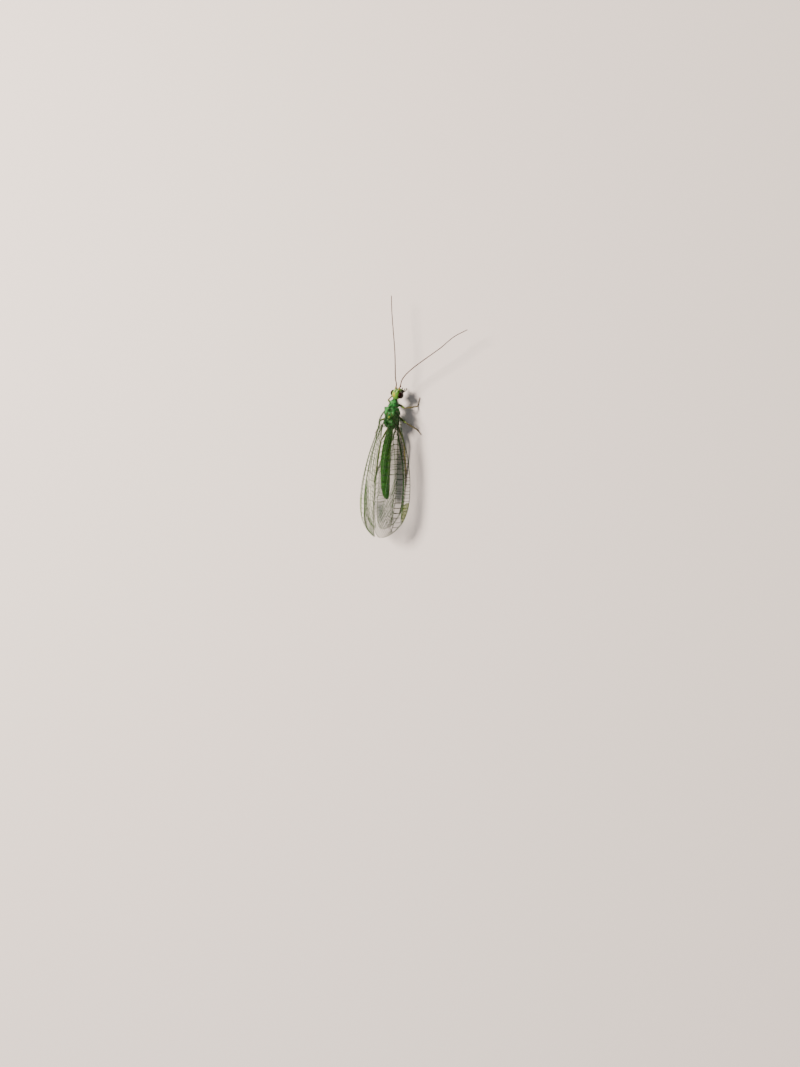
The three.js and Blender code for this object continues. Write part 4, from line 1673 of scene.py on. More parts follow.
@dataclass(frozen=True)
class CompoundEye:
    """A compound eye: a closed dome of small hexagonal lenses."""

    side: str
    radii = (0.24, 0.32, 0.35)
    lenses: int = 1500
    dome: float = 0.0045  # height of each lens

    def build(self) -> Piece:
        """Build the eye, with every lens a low six-sided dome.

        Returns:
            The eye.
        """
        number = np.arange(self.lenses)
        height = 1 - 2 * (number + 0.5) / self.lenses
        turn = number * math.pi * (3 - math.sqrt(5))
        ring = np.sqrt(1 - height**2)
        balls = np.stack([ring * np.cos(turn), height, ring * np.sin(turn)], 1)
        hull = bmesh.new()
        for place in balls:
            hull.verts.new(place)
        bmesh.ops.convex_hull(hull, input=hull.verts)
        hull.verts.ensure_lookup_table()
        hull.verts.index_update()
        centres = np.array([v.co for v in hull.verts])
        faces = np.array([[v.index for v in f.verts] for f in hull.faces])
        hull.free()
        edges = np.sort(np.vstack([faces[:, [0, 1]], faces[:, [1, 2]], faces[:, [2, 0]]]), axis=1)
        pairs, which = np.unique(edges, axis=0, return_inverse=True)
        middles = unit(centres[pairs].mean(1))
        corners = unit(centres[faces].mean(1))
        spheres = np.vstack([centres, middles, corners])
        rise = np.concatenate([np.full(len(centres), self.dome), np.zeros(len(middles) + len(corners))])
        middle_of = len(centres) + which.reshape(3, -1).T
        corner_of = len(centres) + len(middles) + np.arange(len(faces))
        fans = []
        for k in range(3):
            a, b = faces[:, k], faces[:, (k + 1) % 3]
            fans += [np.stack([a, middle_of[:, k], corner_of], 1), np.stack([middle_of[:, k], b, corner_of], 1)]
        centre = np.array(flip(HEAD.eye, SIDES[self.side]))
        points = spheres * np.array(self.radii) + unit(spheres) * rise[:, None] + centre
        eye = Solid(points, np.vstack(fans)).outward().mapped(HEAD.out)
        piece = eye.to_object(f"compound_eye_{self.side}", PLACE.row)
        return dress(piece, Surface.EYE, "eye", f"eye_{self.side}")


@dataclass(frozen=True)
class Feeler:
    """An antenna: a thick scape, a short pedicel and a long flagellum of many joints."""

    side: str
    scape: float = 0.3
    scape_radius: float = 0.088
    pedicel: float = 0.12
    pedicel_radius: float = 0.062
    joint: float = 0.105
    base_radius: float = 0.056
    tip_radius: float = 0.035
    sides: int = 9
    spacing: float = 0.01  # of the points along its course
    hair_radius: float = 0.0036
    courses = {
        "left": (
            (0.2, -0.42, 0.17), (0.28, -0.9, 0.26), (0.48, -1.31, 0.38), (0.88, -2.43, 0.58), (1.3, -3.55, 0.7),
            (2.35, -5.75, 0.74), (3.24, -7.6, 0.74), (3.74, -8.78, 0.74),
        ),
        "right": (
            (0.2, -0.42, 0.17), (0.18, -0.88, 0.26), (0.18, -1.45, 0.38), (0.43, -2.11, 0.5), (0.83, -2.74, 0.6),
            (2.07, -4.39, 0.72), (2.97, -5.58, 0.74), (3.92, -7.04, 0.74), (4.9, -8.0, 0.74),
        ),
    }

    def course(self) -> Array:
        """Return the middle line, finely spaced, in the insect's frame."""
        root, *rest = [flip(p, SIDES[self.side]) for p in self.courses[self.side]]
        return HEAD.out(smooth_path([HEAD.rolled(root), *rest], self.spacing), roll=False)

    def build(self) -> Piece:
        """Build the feeler as one ringed tube.

        Returns:
            The feeler.
        """
        line = self.course()
        at = steps_along(line)
        rest = at[-1] - self.scape - self.pedicel
        joints = round(rest / self.joint)
        brown, dark = Pigment.FLAGELLUM_BROWN, Pigment.FLAGELLUM_DARK
        rows = [
            (share * self.scape, size * self.scape_radius, Pigment.SCAPE_TAN)
            for share, size in ((0.0, 0.8), (0.12, 0.95), (0.5, 1.08), (0.85, 1.0), (0.96, 0.8), (1.0, 0.55))
        ]
        for share, size in ((0.08, 0.72), (0.4, 1.0), (0.85, 0.96), (0.98, 0.7)):
            rows.append((self.scape + share * self.pedicel, size * self.pedicel_radius, brown))
        for joint in range(joints):
            size = self.base_radius + (self.tip_radius - self.base_radius) * (joint / joints) ** 0.8
            for share, swell, shade in ((0.05, 0.9, dark), (0.25, 0.98, brown), (0.8, 1.05, brown), (0.95, 0.95, dark)):
                rows.append((self.scape + self.pedicel + (joint + share) / joints * rest, size * swell, shade))
        rows.append((at[-1], self.tip_radius * 0.4, dark))
        places, radii, pigments = zip(*rows)
        piece = tube(Spline(at, line)(places), radii, self.sides).to_object(f"feeler_{self.side}", PLACE.row)
        shades = np.array([pigment.rgb for pigment in pigments])
        paint(piece, np.vstack([np.repeat(shades, self.sides, 0), shades[:1], shades[-1:]]))
        return dress(piece, Surface.FEELER, "feeler", f"antenna_{self.side}")

    def hairs(self) -> Piece:
        """Set whorls of short hairs on the flagellum.

        Returns:
            The piece.
        """
        draw = np.random.default_rng(SEED + SIDES[self.side])
        line = self.course()[int((self.scape + self.pedicel) / self.spacing) :: 3]
        normals, across = frames_along(line)
        along = unit(np.gradient(line, axis=0))
        count = len(line)
        angle = draw.uniform(0, 2 * np.pi, (3, count, 1))
        out = (np.cos(angle) * normals + np.sin(angle) * across).reshape(-1, 3)
        size = np.tile(np.linspace(self.base_radius, self.tip_radius, count), 3)[:, None]
        roots = np.tile(line, (3, 1)) + out * size
        ways = unit(0.55 * out + 0.8 * np.tile(along, (3, 1)))
        lengths = draw.uniform(0.05, 0.075, len(roots))
        hairs = Bristles(roots, ways, lengths, np.full(len(roots), self.hair_radius), 0.1, draw)
        places = np.stack([angle.ravel() / (2 * np.pi), np.tile(np.linspace(0, 1, count), 3)], 1)
        return hairs.build(f"feeler_hairs_{self.side}", Surface.WING_SETA, "feeler", places)


# Wings

Station = tuple[float, tuple[float, float], tuple[float, float]]


@dataclass(frozen=True)
class WingPlan:
    """The plan of one kind of wing.

    Stations run from base to apex: the place along the body, then outward and upward places of the outer and the
    hind margin. The long veins are given as distances in mm from a margin or from another vein, at places along
    the body.
    """

    kind: str
    stations: tuple[Station, ...]
    subcosta: Pairs
    radius_gap: float
    radius_end: Pairs
    sector: Pairs
    media: Pairs
    cubitus: Pairs
    costal_step: float
    radial_step: float
    branch_starts: tuple[float, float, int]
    short_branches: int
    stigma: tuple[float, float]
    thickness: float = 1.0
    camber: float = 0.07
    lean: tuple[float, float] = (-0.63, 0.777)  # across the wing, outward and upward


FOREWING = WingPlan(
    kind="forewing",
    stations=(
        (1.72, (0.62, 2.06), (0.52, 2.16)),
        (2.0, (0.8, 2.05), (0.55, 2.45)),
        (2.5, (1.08, 2.0), (0.68, 2.66)),
        (3.3, (1.22, 1.86), (0.42, 3.08)),
        (4.5, (1.56, 1.66), (0.09, 3.7)),
        (6.0, (2.04, 1.46), (0.03, 4.12)),
        (8.0, (2.46, 1.36), (0.03, 4.22)),
        (9.8, (2.64, 1.42), (0.03, 4.2)),
        (11.5, (2.56, 1.6), (0.03, 4.08)),
        (12.6, (2.24, 1.84), (0.04, 3.92)),
        (13.3, (1.8, 2.06), (0.08, 3.7)),
        (13.8, (1.34, 2.26), (0.14, 3.42)),
        (14.12, (0.9, 2.42), (0.22, 3.1)),
        (14.28, (0.6, 2.52), (0.3, 2.84)),
        (14.34, (0.46, 2.57), (0.37, 2.7)),
    ),
    subcosta=((1.72, 0.03), (2.5, 0.2), (3.3, 0.46), (4.5, 0.7), (6, 0.78), (8, 0.78), (9.8, 0.74), (11.3, 0.62),
              (12.2, 0.36), (12.8, 0.0)),
    radius_gap=0.075,
    radius_end=((12.8, 0.12), (13.2, 0.1), (13.6, 0.0)),
    sector=((2.95, 0.0), (3.6, 0.3), (4.5, 0.58), (6, 0.8), (8, 0.98), (9.8, 1.06), (11.5, 1.0), (12.6, 0.8),
            (13.4, 0.52), (13.9, 0.36)),
    media=((2.4, 0.55), (3.2, 0.86), (4.4, 1.06), (6, 1.14), (8, 1.14), (9.8, 1.06), (11.3, 0.88), (12.4, 0.52),
           (13.0, 0.24), (13.35, 0.0)),
    cubitus=((1.95, 0.22), (2.6, 0.34), (3.3, 0.46), (4.5, 0.62), (6, 0.64), (8, 0.58), (9.5, 0.46), (10.6, 0.24),
             (11.3, 0.0)),
    costal_step=0.34,
    radial_step=0.48,
    branch_starts=(4.05, 13.17, 20),
    short_branches=9,
    stigma=(10.6, 12.75),
)

HINDWING = WingPlan(
    kind="hindwing",
    stations=(
        (2.72, (0.56, 2.05), (0.48, 2.13)),
        (3.1, (0.76, 1.98), (0.5, 2.34)),
        (3.7, (1.0, 1.86), (0.4, 2.78)),
        (4.6, (1.32, 1.72), (0.22, 3.2)),
        (6.0, (1.7, 1.56), (0.13, 3.56)),
        (8.0, (2.04, 1.5), (0.13, 3.72)),
        (9.8, (2.18, 1.58), (0.13, 3.72)),
        (11.3, (2.06, 1.76), (0.13, 3.58)),
        (12.2, (1.74, 1.96), (0.13, 3.42)),
        (12.8, (1.36, 2.14), (0.16, 3.2)),
        (13.2, (0.96, 2.32), (0.22, 2.94)),
        (13.4, (0.66, 2.45), (0.3, 2.74)),
        (13.46, (0.52, 2.5), (0.36, 2.63)),
    ),
    subcosta=((2.72, 0.02), (3.7, 0.12), (5, 0.2), (8, 0.26), (10, 0.24), (11.3, 0.14), (12.0, 0.0)),
    radius_gap=0.06,
    radius_end=((12.0, 0.1), (12.5, 0.08), (12.8, 0.0)),
    sector=((3.9, 0.0), (4.6, 0.25), (6, 0.5), (8, 0.7), (10, 0.76), (11.5, 0.66), (12.5, 0.44), (13.0, 0.26)),
    media=((3.5, 0.5), (4.2, 0.74), (5, 0.92), (6.5, 1.02), (8, 1.02), (10, 0.86), (11.5, 0.54), (12.4, 0.0)),
    cubitus=((3.0, 0.14), (3.6, 0.3), (4.6, 0.44), (6, 0.5), (8, 0.48), (9.4, 0.32), (10.4, 0.0)),
    costal_step=0.38,
    radial_step=0.56,
    branch_starts=(4.9, 12.2, 11),
    short_branches=5,
    stigma=(10.4, 11.9),
    thickness=0.85,
)


@dataclass(frozen=True)
class Vein:
    """A vein in the plan of the wing: its course, its radii and how dark it is, from start to end."""

    course: Array
    radii: tuple[float, float]
    dark: tuple[float, float]
    margin: bool = False


def run(curve: Curve, first: float, last: float) -> Array:
    """Follow a curve in the plan of the wing.

    Args:
        curve: The curve.
        first: Where along the body it starts.
        last: Where it ends.

    Returns:
        Its course.
    """
    x = np.linspace(first, last, max(2, round((last - first) / 0.08)))
    return np.stack([x, curve(x)], 1)


def spot(curve: Curve, x: float) -> Array:
    """Return the place in the plan where a curve is at x."""
    return np.array([x, curve(np.array([x]))[0]])


def link(one: Sequence[float], other: Sequence[float], bow: float = 0.0) -> Array:
    """Lay a short course between two places in the plan.

    Args:
        one: The first place.
        other: The second place.
        bow: How far it bows towards the apex.

    Returns:
        The course.
    """
    one, other = np.array(one), np.array(other)
    return smooth_path([one, (one + other) / 2 + (bow, 0), other], 0.07)


@dataclass
class Wing:
    """One wing: its membrane, the network of its veins, its pterostigma and the hairs on them."""

    plan: WingPlan
    side: str
    bend: float = 0.46  # how far the line that the wings meet over has swung to the right by the apex
    bent: tuple[float, float] = (2.0, 14.34)  # where along the body it starts and ends
    lap: float = 0.1  # how far the right forewing reaches over the left one
    fine: float = 0.05  # spacing of the membrane's grid
    bulge: float = 0.014  # how far a cell's membrane stands off the plane of its veins
    stout: float = 0.038
    slender: float = 0.025
    thread: float = 0.017
    hair_radius: float = 0.005
    stigma_half: float = 0.012  # half the thickness of the pterostigma

    def __post_init__(self) -> None:
        """Lay out the margins as curves along the body."""
        stations = self.plan.stations
        at = np.array([s[0] for s in stations])
        first, last = self.bent
        middle = -self.bend * np.clip((at - first) / (last - first), 0, 1) ** 2
        sign = SIDES[self.side]
        self.start, self.end = at[0], at[-1]
        over = self.lap * np.clip((at - 8) / 4, 0, 1) * (self.name == "forewing_right")
        rows = [
            (m + sign * s[1][0], s[0], s[1][1], m + sign * (s[2][0] - o), s[0], s[2][1] + o / 2)
            for s, m, o in zip(stations, middle, over)
        ]
        self.margins = Spline(at, rows)
        lean = np.array([sign * self.plan.lean[0], 0.0, self.plan.lean[1]])
        both = self.margins(at)
        self.outer = Spline(at, both[:, :3] @ lean)
        self.width = Spline(at, np.linalg.norm(both[:, 3:] - both[:, :3], axis=1))
        lines = ("subcosta", "radius_end", "sector", "media", "cubitus")
        self.gaps = {line: Spline(*zip(*getattr(self.plan, line))) for line in lines}
        self.veins = self.network()

    def hind(self, x: Array) -> Array:
        """Return where across the wing its hind margin lies."""
        return self.outer.one(x) + self.width.one(x)

    def subcosta(self, x: Array) -> Array:
        """Return where the subcosta lies."""
        return self.outer.one(x) + self.gaps["subcosta"].one(x)

    def radius(self, x: Array) -> Array:
        """Find where the radius lies: behind the subcosta, and behind the outer margin beyond it.

        Args:
            x: Places along the body.

        Returns:
            Its places across the wing.
        """
        join = self.plan.subcosta[-1][0]
        near = self.gaps["subcosta"].one(x) + self.plan.radius_gap + 0.045 * np.clip((x - join + 1.2) / 1.2, 0, 1)
        return self.outer.one(x) + np.where(x < join, near, self.gaps["radius_end"].one(x))

    def sector(self, x: Array) -> Array:
        """Return where the radial sector lies."""
        return self.radius(x) + self.gaps["sector"].one(x)

    def media(self, x: Array) -> Array:
        """Return where the media lies."""
        return self.hind(x) - self.gaps["media"].one(x)

    def cubitus(self, x: Array) -> Array:
        """Return where the cubitus lies."""
        return self.hind(x) - self.gaps["cubitus"].one(x)

    def surface(self, x: Array, v: Array) -> Array:
        """Find places on the wing.

        Args:
            x: Places along the body.
            v: Shares of the way across the wing, from its outer margin.

        Returns:
            The places.
        """
        both = self.margins(x)
        low, chord = both[:, :3], both[:, 3:] - both[:, :3]
        sign = SIDES[self.side]
        out = unit(np.stack([sign * chord[:, 2], np.zeros(len(x)), np.abs(chord[:, 0])], 1))
        arch = 4 * v * (1 - v) * self.plan.camber * np.linalg.norm(chord, axis=1)
        return low + chord * v[:, None] + out * arch[:, None]

    def normal(self, x: Array, v: Array) -> Array:
        """Find the outward normals of the wing.

        Args:
            x: Places along the body.
            v: Shares of the way across the wing.

        Returns:
            The normals.
        """
        step = 0.02
        along = self.surface(np.minimum(x + step, self.end), v) - self.surface(np.maximum(x - step, self.start), v)
        across = self.surface(x, v + step) - self.surface(x, v - step)
        return unit(np.cross(along, across) * SIDES[self.side])

    def share(self, plan_points: Array) -> Array:
        """Return how far across the wing points of the plan lie, from 0 at the outer margin to 1."""
        x = plan_points[:, 0]
        return (plan_points[:, 1] - self.outer.one(x)) / np.maximum(self.width.one(x), 1e-6)

    def lifted(self, plan_points: Array, height: float = 0.0) -> Array:
        """Return points of the plan on the wing, raised off its surface by a height."""
        x, v = plan_points[:, 0], self.share(plan_points)
        return self.surface(x, v) + self.normal(x, v) * height

    def network(self) -> list[Vein]:
        """Lay out the veins in the plan.

        Returns:
            The veins, the long ones first.
        """
        p = self.plan
        stout, slender, thread = (size * p.thickness for size in (self.stout, self.slender, self.thread))
        outer, start, tip = self.outer.one, self.start, self.end
        join, first_sector, last_sector = p.subcosta[-1][0], p.sector[0][0], p.sector[-1][0]
        veins = [
            Vein(run(outer, start, tip), (1.15 * stout, 0.6 * stout), (0.45, 0.3), True),
            Vein(run(self.hind, start, tip)[::-1], (0.55 * stout, 0.4 * stout), (0.4, 0.35), True),
            Vein(run(self.subcosta, start, join), (stout, 0.6 * stout), (0.75, 0.15)),
            Vein(run(self.radius, start, p.radius_end[-1][0]), (1.1 * stout, 0.5 * stout), (0.85, 0.2)),
        ]
        for line, dark in (("sector", (0.6, 0.25)), ("media", (0.7, 0.25)), ("cubitus", (0.6, 0.3))):
            course = run(getattr(self, line), *self.gaps[line].at[[0, -1]])
            veins.append(Vein(course, (0.75 * stout, 0.45 * stout), dark))
        arculus = link(spot(self.radius, start + 0.1), spot(self.media, p.media[0][0]))
        veins.append(Vein(arculus, (0.8 * stout, 0.8 * stout), (0.8, 0.8)))
        costal = np.arange(start + 0.55, join - 0.15, p.costal_step)
        subcostal = (first_sector - 0.2, *np.arange(p.stigma[0] + 0.2, join - 0.3, 0.24))
        radial = np.arange(first_sector + 0.55, last_sector - 0.3, p.radial_step)
        for one, other, places, shift, bow, size in (
            (outer, self.subcosta, costal, 0.06, 0.02, slender),
            (self.subcosta, self.radius, subcostal, 0.0, 0.0, thread),
            (self.radius, self.sector, radial, 0.07, 0.02, slender),
        ):
            veins += [Vein(link(spot(one, x), spot(other, x + shift), bow), (size, size), (0.95, 0.85)) for x in places]

        first, last, count = p.branch_starts
        branches = []
        gaps = self.outer_margin(p.media[-1][0], p.radius_end[-1][0], 2 * (count - p.short_branches))
        for k, x in enumerate(np.linspace(first, last, count)):
            leaf = spot(self.sector, x)
            if k < p.short_branches:
                goal = spot(self.media, x + 0.18)
                veins.append(Vein(link(leaf, goal, 0.03), (slender, slender), (0.7, 0.7)))
                continue
            number = 2 * (k - p.short_branches)
            fork = gaps[number : number + 2].mean(0)
            split = leaf + 0.72 * (fork - leaf)
            bend = leaf + 0.4 * (fork - leaf) + np.array([0.12, 0.02])
            stem = smooth_path([leaf, bend, split], 0.07)
            branches.append(stem)
            veins.append(Vein(stem, (slender, thread), (0.55, 0.7)))
            for goal in gaps[number : number + 2]:
                veins.append(Vein(link(split, goal), (thread, 0.8 * thread), (0.6, 0.4)))
        for near, far in zip(branches[:-1], branches[1:]):
            for share in (0.36, 0.8):
                one = near[min(int((share + 0.05) * len(near)), len(near) - 1)]
                other = far[int((share - 0.05) * len(far))]
                veins.append(Vein(link(one, other), (slender, slender), (0.95, 0.95)))
        return veins + self.hind_field(slender, thread)

    def outer_margin(self, near: float, far: float, count: int) -> Array:
        """Return places spread round the apex, along the margin.

        Args:
            near: Where the media meets the hind margin.
            far: Where the radius meets the outer margin.
            count: How many there are.

        Returns:
            The places in the plan, from the hind margin over the apex to the outer margin.
        """
        back, front = np.linspace(near, self.end, 40), np.linspace(self.end, far, 40)
        line = np.vstack([
            np.stack([back, self.hind(back)], 1),
            np.stack([front, self.outer.one(front)], 1),
        ])
        at = steps_along(line) + 1e-9 * np.arange(len(line))
        return Spline(at, line)(np.linspace(0.06, 0.9, count) * at[-1])

    def hind_field(self, slender: float, thread: float) -> list[Vein]:
        """Lay out the veins between the media and the hind margin.

        Args:
            slender: Radius of a crossvein.
            thread: Radius of a marginal twig.

        Returns:
            The veins.
        """
        p = self.plan
        media, cubitus, hind = self.media, self.cubitus, self.hind
        veins = []
        for x in np.arange(p.media[0][0] + 0.35, p.cubitus[-1][0] - 0.2, 0.66):
            veins.append(Vein(link(spot(media, x), spot(cubitus, x + 0.14), 0.02), (slender, slender), (0.9, 0.9)))
        for x in np.arange(p.cubitus[0][0] + 0.5, p.cubitus[-1][0] - 0.25, 0.52):
            gap = (spot(hind, x) - spot(cubitus, x))[1]
            fork = (x + 0.24, spot(cubitus, x + 0.24)[1] + 0.55 * gap)
            veins.append(Vein(link(spot(cubitus, x), fork), (slender, thread), (0.8, 0.6)))
            for reach in (0.36, 0.6):
                veins.append(Vein(link(fork, spot(hind, x + reach)), (thread, 0.8 * thread), (0.6, 0.4)))
        for x in np.arange(p.cubitus[-1][0] - 0.1, p.media[-1][0] - 0.3, 0.34):
            veins.append(Vein(link(spot(media, x), spot(hind, x + 0.3)), (thread, 0.8 * thread), (0.7, 0.4)))
        if p.kind == "forewing":
            ends = [spot(media, 3.7), spot(media, 4.75)]
            cell = smooth_path([ends[0], (4.0, ends[0][1] - 0.2), (4.45, ends[1][1] - 0.22), ends[1]], 0.07)
            veins.append(Vein(cell, (slender, slender), (0.85, 0.85)))
        base = p.cubitus[0][0]
        for first, last in ((base + 0.15, base + 1.5), (base + 0.05, base + 0.95)):
            root = spot(cubitus, first) + (0, 0.06)
            veins.append(Vein(link(root, spot(hind, last)), (slender, thread), (0.6, 0.4)))
        return veins

    def build(self) -> None:
        """Build the wing's pieces and dress them."""
        for piece in (self.membrane, self.vein_tubes, self.stigma, self.hairs):
            piece()

    @property
    def name(self) -> str:
        """The wing's name with its side."""
        return f"{self.plan.kind}_{self.side}"

    def membrane(self) -> Piece:
        """Build the clear sheet, bulging a little in each cell.

        Returns:
            The sheet.
        """
        rows = round((self.end - self.start) / self.fine)
        columns = round(float(self.width.values.max()) / self.fine)
        x, v = lattice(np.linspace(self.start, self.end, rows), np.linspace(0, 1, columns))
        flat = np.stack([x, self.outer.one(x) + v * self.width.one(x)], 1)
        tree = tree_of(np.pad(np.vstack([vein.course for vein in self.veins]), ((0, 0), (0, 1))))
        gap = np.array([tree.find((a, b, 0))[2] for a, b in flat])
        wave = np.sin(5.1 * x + 2.3 * np.sin(3.7 * flat[:, 1])) * np.sin(4.3 * flat[:, 1] + 1.3)
        rise = self.bulge * np.sign(wave) * np.sqrt(np.abs(wave)) * np.clip(gap / 0.16, 0, 1)
        points = self.surface(x, v) + self.normal(x, v) * rise[:, None]
        triangles = sheet(rows, columns)[:, :: SIDES[self.side]]
        piece = Solid(points, triangles).to_object(f"{self.name}_membrane", PLACE.row)
        return dress(piece, Surface.MEMBRANE, "wing", self.name)

    def vein_tubes(self) -> Piece:
        """Build the veins as tubes that run in the membrane.

        Returns:
            The veins.
        """
        solids, colours = [], []
        for vein in self.veins:
            path = self.lifted(vein.course)
            share = np.linspace(0, 1, len(path))
            sides = 8 if vein.radii[0] > self.slender else 6
            solids.append(tube(path, vein.radii[0] + (vein.radii[1] - vein.radii[0]) * share, sides))
            dark = vein.dark[0] + (vein.dark[1] - vein.dark[0]) * share
            tint = mix(np.tile(Pigment.VEIN_GREEN.rgb, (len(path), 1)), Pigment.VEIN_DARK.rgb, dark)
            tint = mix(tint, Pigment.THORAX_DEEP.rgb, 0.75 * np.clip((4.8 - vein.course[:, 0]) / 1.8, 0, 1))
            colours += [np.repeat(tint, sides, 0), tint[:1], tint[-1:]]
        piece = Solid.joined(solids).to_object(f"{self.name}_veins", PLACE.row)
        paint(piece, np.vstack(colours))
        return dress(piece, Surface.VEIN, "wing")

    def stigma(self) -> Piece:
        """Build the pterostigma, a thick yellow-green patch in the outer margin.

        Returns:
            The patch.
        """
        first, last = self.plan.stigma
        rows, columns = 40, 10
        x, v = lattice(np.linspace(first, last, rows), np.linspace(0.02, 1, columns))
        ends = rounded((x - first) / (last - first), 3)
        reach = (self.gaps["subcosta"].one(x) + self.plan.radius_gap) * (0.1 + 0.9 * ends)
        flat = np.stack([x, self.outer.one(x) + v * reach], 1)
        layers = [self.lifted(flat, height) for height in (self.stigma_half, -self.stigma_half)]
        top = sheet(rows, columns)
        size = rows * columns
        rim = np.concatenate([
            np.arange(columns), np.arange(1, rows) * columns + columns - 1,
            size - 2 - np.arange(columns - 1), np.arange(rows - 2, 0, -1) * columns,
        ])
        after = np.roll(rim, -1)
        wall = np.vstack([np.stack([rim, after, after + size], 1), np.stack([rim, after + size, rim + size], 1)])
        patch = Solid(np.vstack(layers), np.vstack([top, top[:, ::-1] + size, wall])).outward()
        return dress(patch.to_object(f"{self.name}_stigma", PLACE.row), Surface.STIGMA, "wing")

    def hairs(self) -> Piece:
        """Set a row of hairs along each vein and a fringe round the margin.

        Returns:
            The hairs.
        """
        draw = np.random.default_rng(SEED + len(self.name))
        roots, ways, lengths = [], [], []
        for vein in self.veins:
            step = 0.045 if vein.margin else 0.07
            course = smooth_path(vein.course, step)
            path, v = self.lifted(course), self.share(course)
            up = self.normal(course[:, 0], v)
            along = unit(np.gradient(path, axis=0))
            if along[:, 1].sum() < 0:
                along = -along
            size = np.linspace(vein.radii[0], vein.radii[1], len(path))[:, None]
            lean = draw.normal(0, 0.25, (len(path), 1)) * np.cross(along, up)
            roots.append(path + up * size * 0.6)
            ways.append(unit(0.75 * up + 0.6 * along + lean))
            lengths.append(draw.uniform(0.09, 0.14, len(path)))
            if vein.margin:
                inward = self.surface(course[:, 0], np.full(len(path), 0.5)) - path
                outward = -unit(inward - np.einsum("ij,ij->i", inward, up)[:, None] * up)
                roots.append(path + outward * size * 0.6)
                ways.append(unit(outward + 0.7 * along + draw.normal(0, 0.12, path.shape)))
                lengths.append(draw.uniform(0.12, 0.19, len(path)))
        roots, ways, lengths = np.vstack(roots), np.vstack(ways), np.concatenate(lengths)
        hairs = Bristles(roots, ways, lengths, np.full(len(roots), self.hair_radius), 0.25, draw)
        u = (roots[:, 1] - self.start) / (self.end - self.start)
        v = (roots[:, 2] - 1.2) / 3.2
        return hairs.build(f"{self.name}_hairs", Surface.WING_SETA, "wing", np.stack([u, v], 1))


# Hairs

@dataclass
class Bristles:
    """Many tapered, three-sided hairs, each with its root sunk in what it grows from."""

    roots: Array
    ways: Array
    lengths: Array
    radii: Array
    bend: float
    draw: np.random.Generator
    sink: float = 0.02
    patch: float = 0.0015  # half width of a hair's place on the map

    def build(self, name: str, finish: Surface, slot: str, places: Array) -> Piece:
        """Make the hairs as one piece.

        Args:
            name: The piece's name.
            finish: Its finish.
            slot: The record's material slot it takes after.
            places: Each root's place on the unwrapped skin.

        Returns:
            The piece.
        """
        count = len(self.roots)
        side = unit(np.cross(self.ways, self.draw.normal(0, 1, (count, 3))))
        other = np.cross(self.ways, side)
        base = self.roots - self.ways * self.sink
        sag = self.bend * self.lengths[:, None] * side
        middle = self.roots + self.ways * self.lengths[:, None] * 0.5 + 0.25 * sag
        tip = self.roots + self.ways * self.lengths[:, None] + sag
        corners = []
        for centre, share in ((base, 1.0), (middle, 0.62)):
            for k in range(3):
                angle = 2 * math.pi * k / 3
                spoke = math.cos(angle) * side + math.sin(angle) * other
                corners.append(centre + spoke * self.radii[:, None] * share)
        points = np.stack([*corners, tip], 1).reshape(-1, 3)
        pattern = [(0, 2, 1)]
        for k in range(3):
            after = (k + 1) % 3
            pattern += [(k, after, after + 3), (k, after + 3, k + 3), (k + 3, after + 3, 6)]
        triangles = (np.arange(count)[:, None, None] * 7 + np.array(pattern)[None]).reshape(-1, 3)
        piece = Solid(points, triangles).outward().to_object(name, PLACE.row)
        spots = np.array([(-1, -1), (1, -1), (0, 1), (-0.6, -0.6), (0.6, -0.6), (0, 0.6), (0, 0)]) * self.patch
        set_bake_map(piece, (places[:, None] + spots[None]).reshape(-1, 2))
        return dress(piece, finish, slot)


@dataclass(frozen=True)
class Coat:
    """The setae of the body and legs."""

    skin: Skin
    hair_radius: float = 0.0038
    clearance: float = 0.005  # how far above the floor every hair has to end

    def build(self) -> None:
        """Scatter the hairs over trunk and legs, as one piece each."""
        skin = self.skin
        draw = np.random.default_rng(SEED)
        corners = skin.solid.points[skin.solid.triangles]
        cross = np.cross(corners[:, 1] - corners[:, 0], corners[:, 2] - corners[:, 0])
        area = np.linalg.norm(cross, axis=1) / 2
        facing = unit(cross)
        owner = skin.owner[skin.solid.triangles[:, 0]]
        tissue = np.array([part.tissue.number for part in skin.parts])[owner]
        legs = tissue > Tissue.COXA.number
        values = np.array([kind.setae for kind in Tissue])
        for name, chosen in (("body_hairs", ~legs), ("leg_hairs", legs)):
            weight = area * values[tissue, 0] * chosen
            count = int(weight.sum())
            faces = draw.choice(len(area), count, p=weight / weight.sum())
            mixture = draw.dirichlet((1, 1, 1), count)
            roots = np.einsum("ij,ijk->ik", mixture, corners[faces])
            normals = facing[faces]
            way = self.lie()[owner[faces]]
            way = unit(way - np.einsum("ij,ij->i", way, normals)[:, None] * normals)
            lift = values[tissue[faces], 2][:, None]
            ways = unit(lift * normals + (1 - lift) * way + draw.normal(0, 0.12, (count, 3)))
            lengths = values[tissue[faces], 1] * draw.uniform(0.7, 1.25, count)
            clear = (roots + ways * lengths[:, None])[:, 2] > self.clearance
            roots, ways, lengths, faces = roots[clear], ways[clear], lengths[clear], faces[clear]
            places = skin.unwrapped(roots, owner[faces])
            hairs = Bristles(roots, ways, lengths, np.full(len(roots), self.hair_radius), 0.2, draw)
            hairs.build(name, Surface.BODY_SETA, "cuticle", places)

    def lie(self) -> Array:
        """Return the way that hairs lie on each part: back along the trunk, down along a limb."""
        return unit(np.array([np.subtract(part.axis[1], part.axis[0]) for part in self.skin.parts]))


# Studio

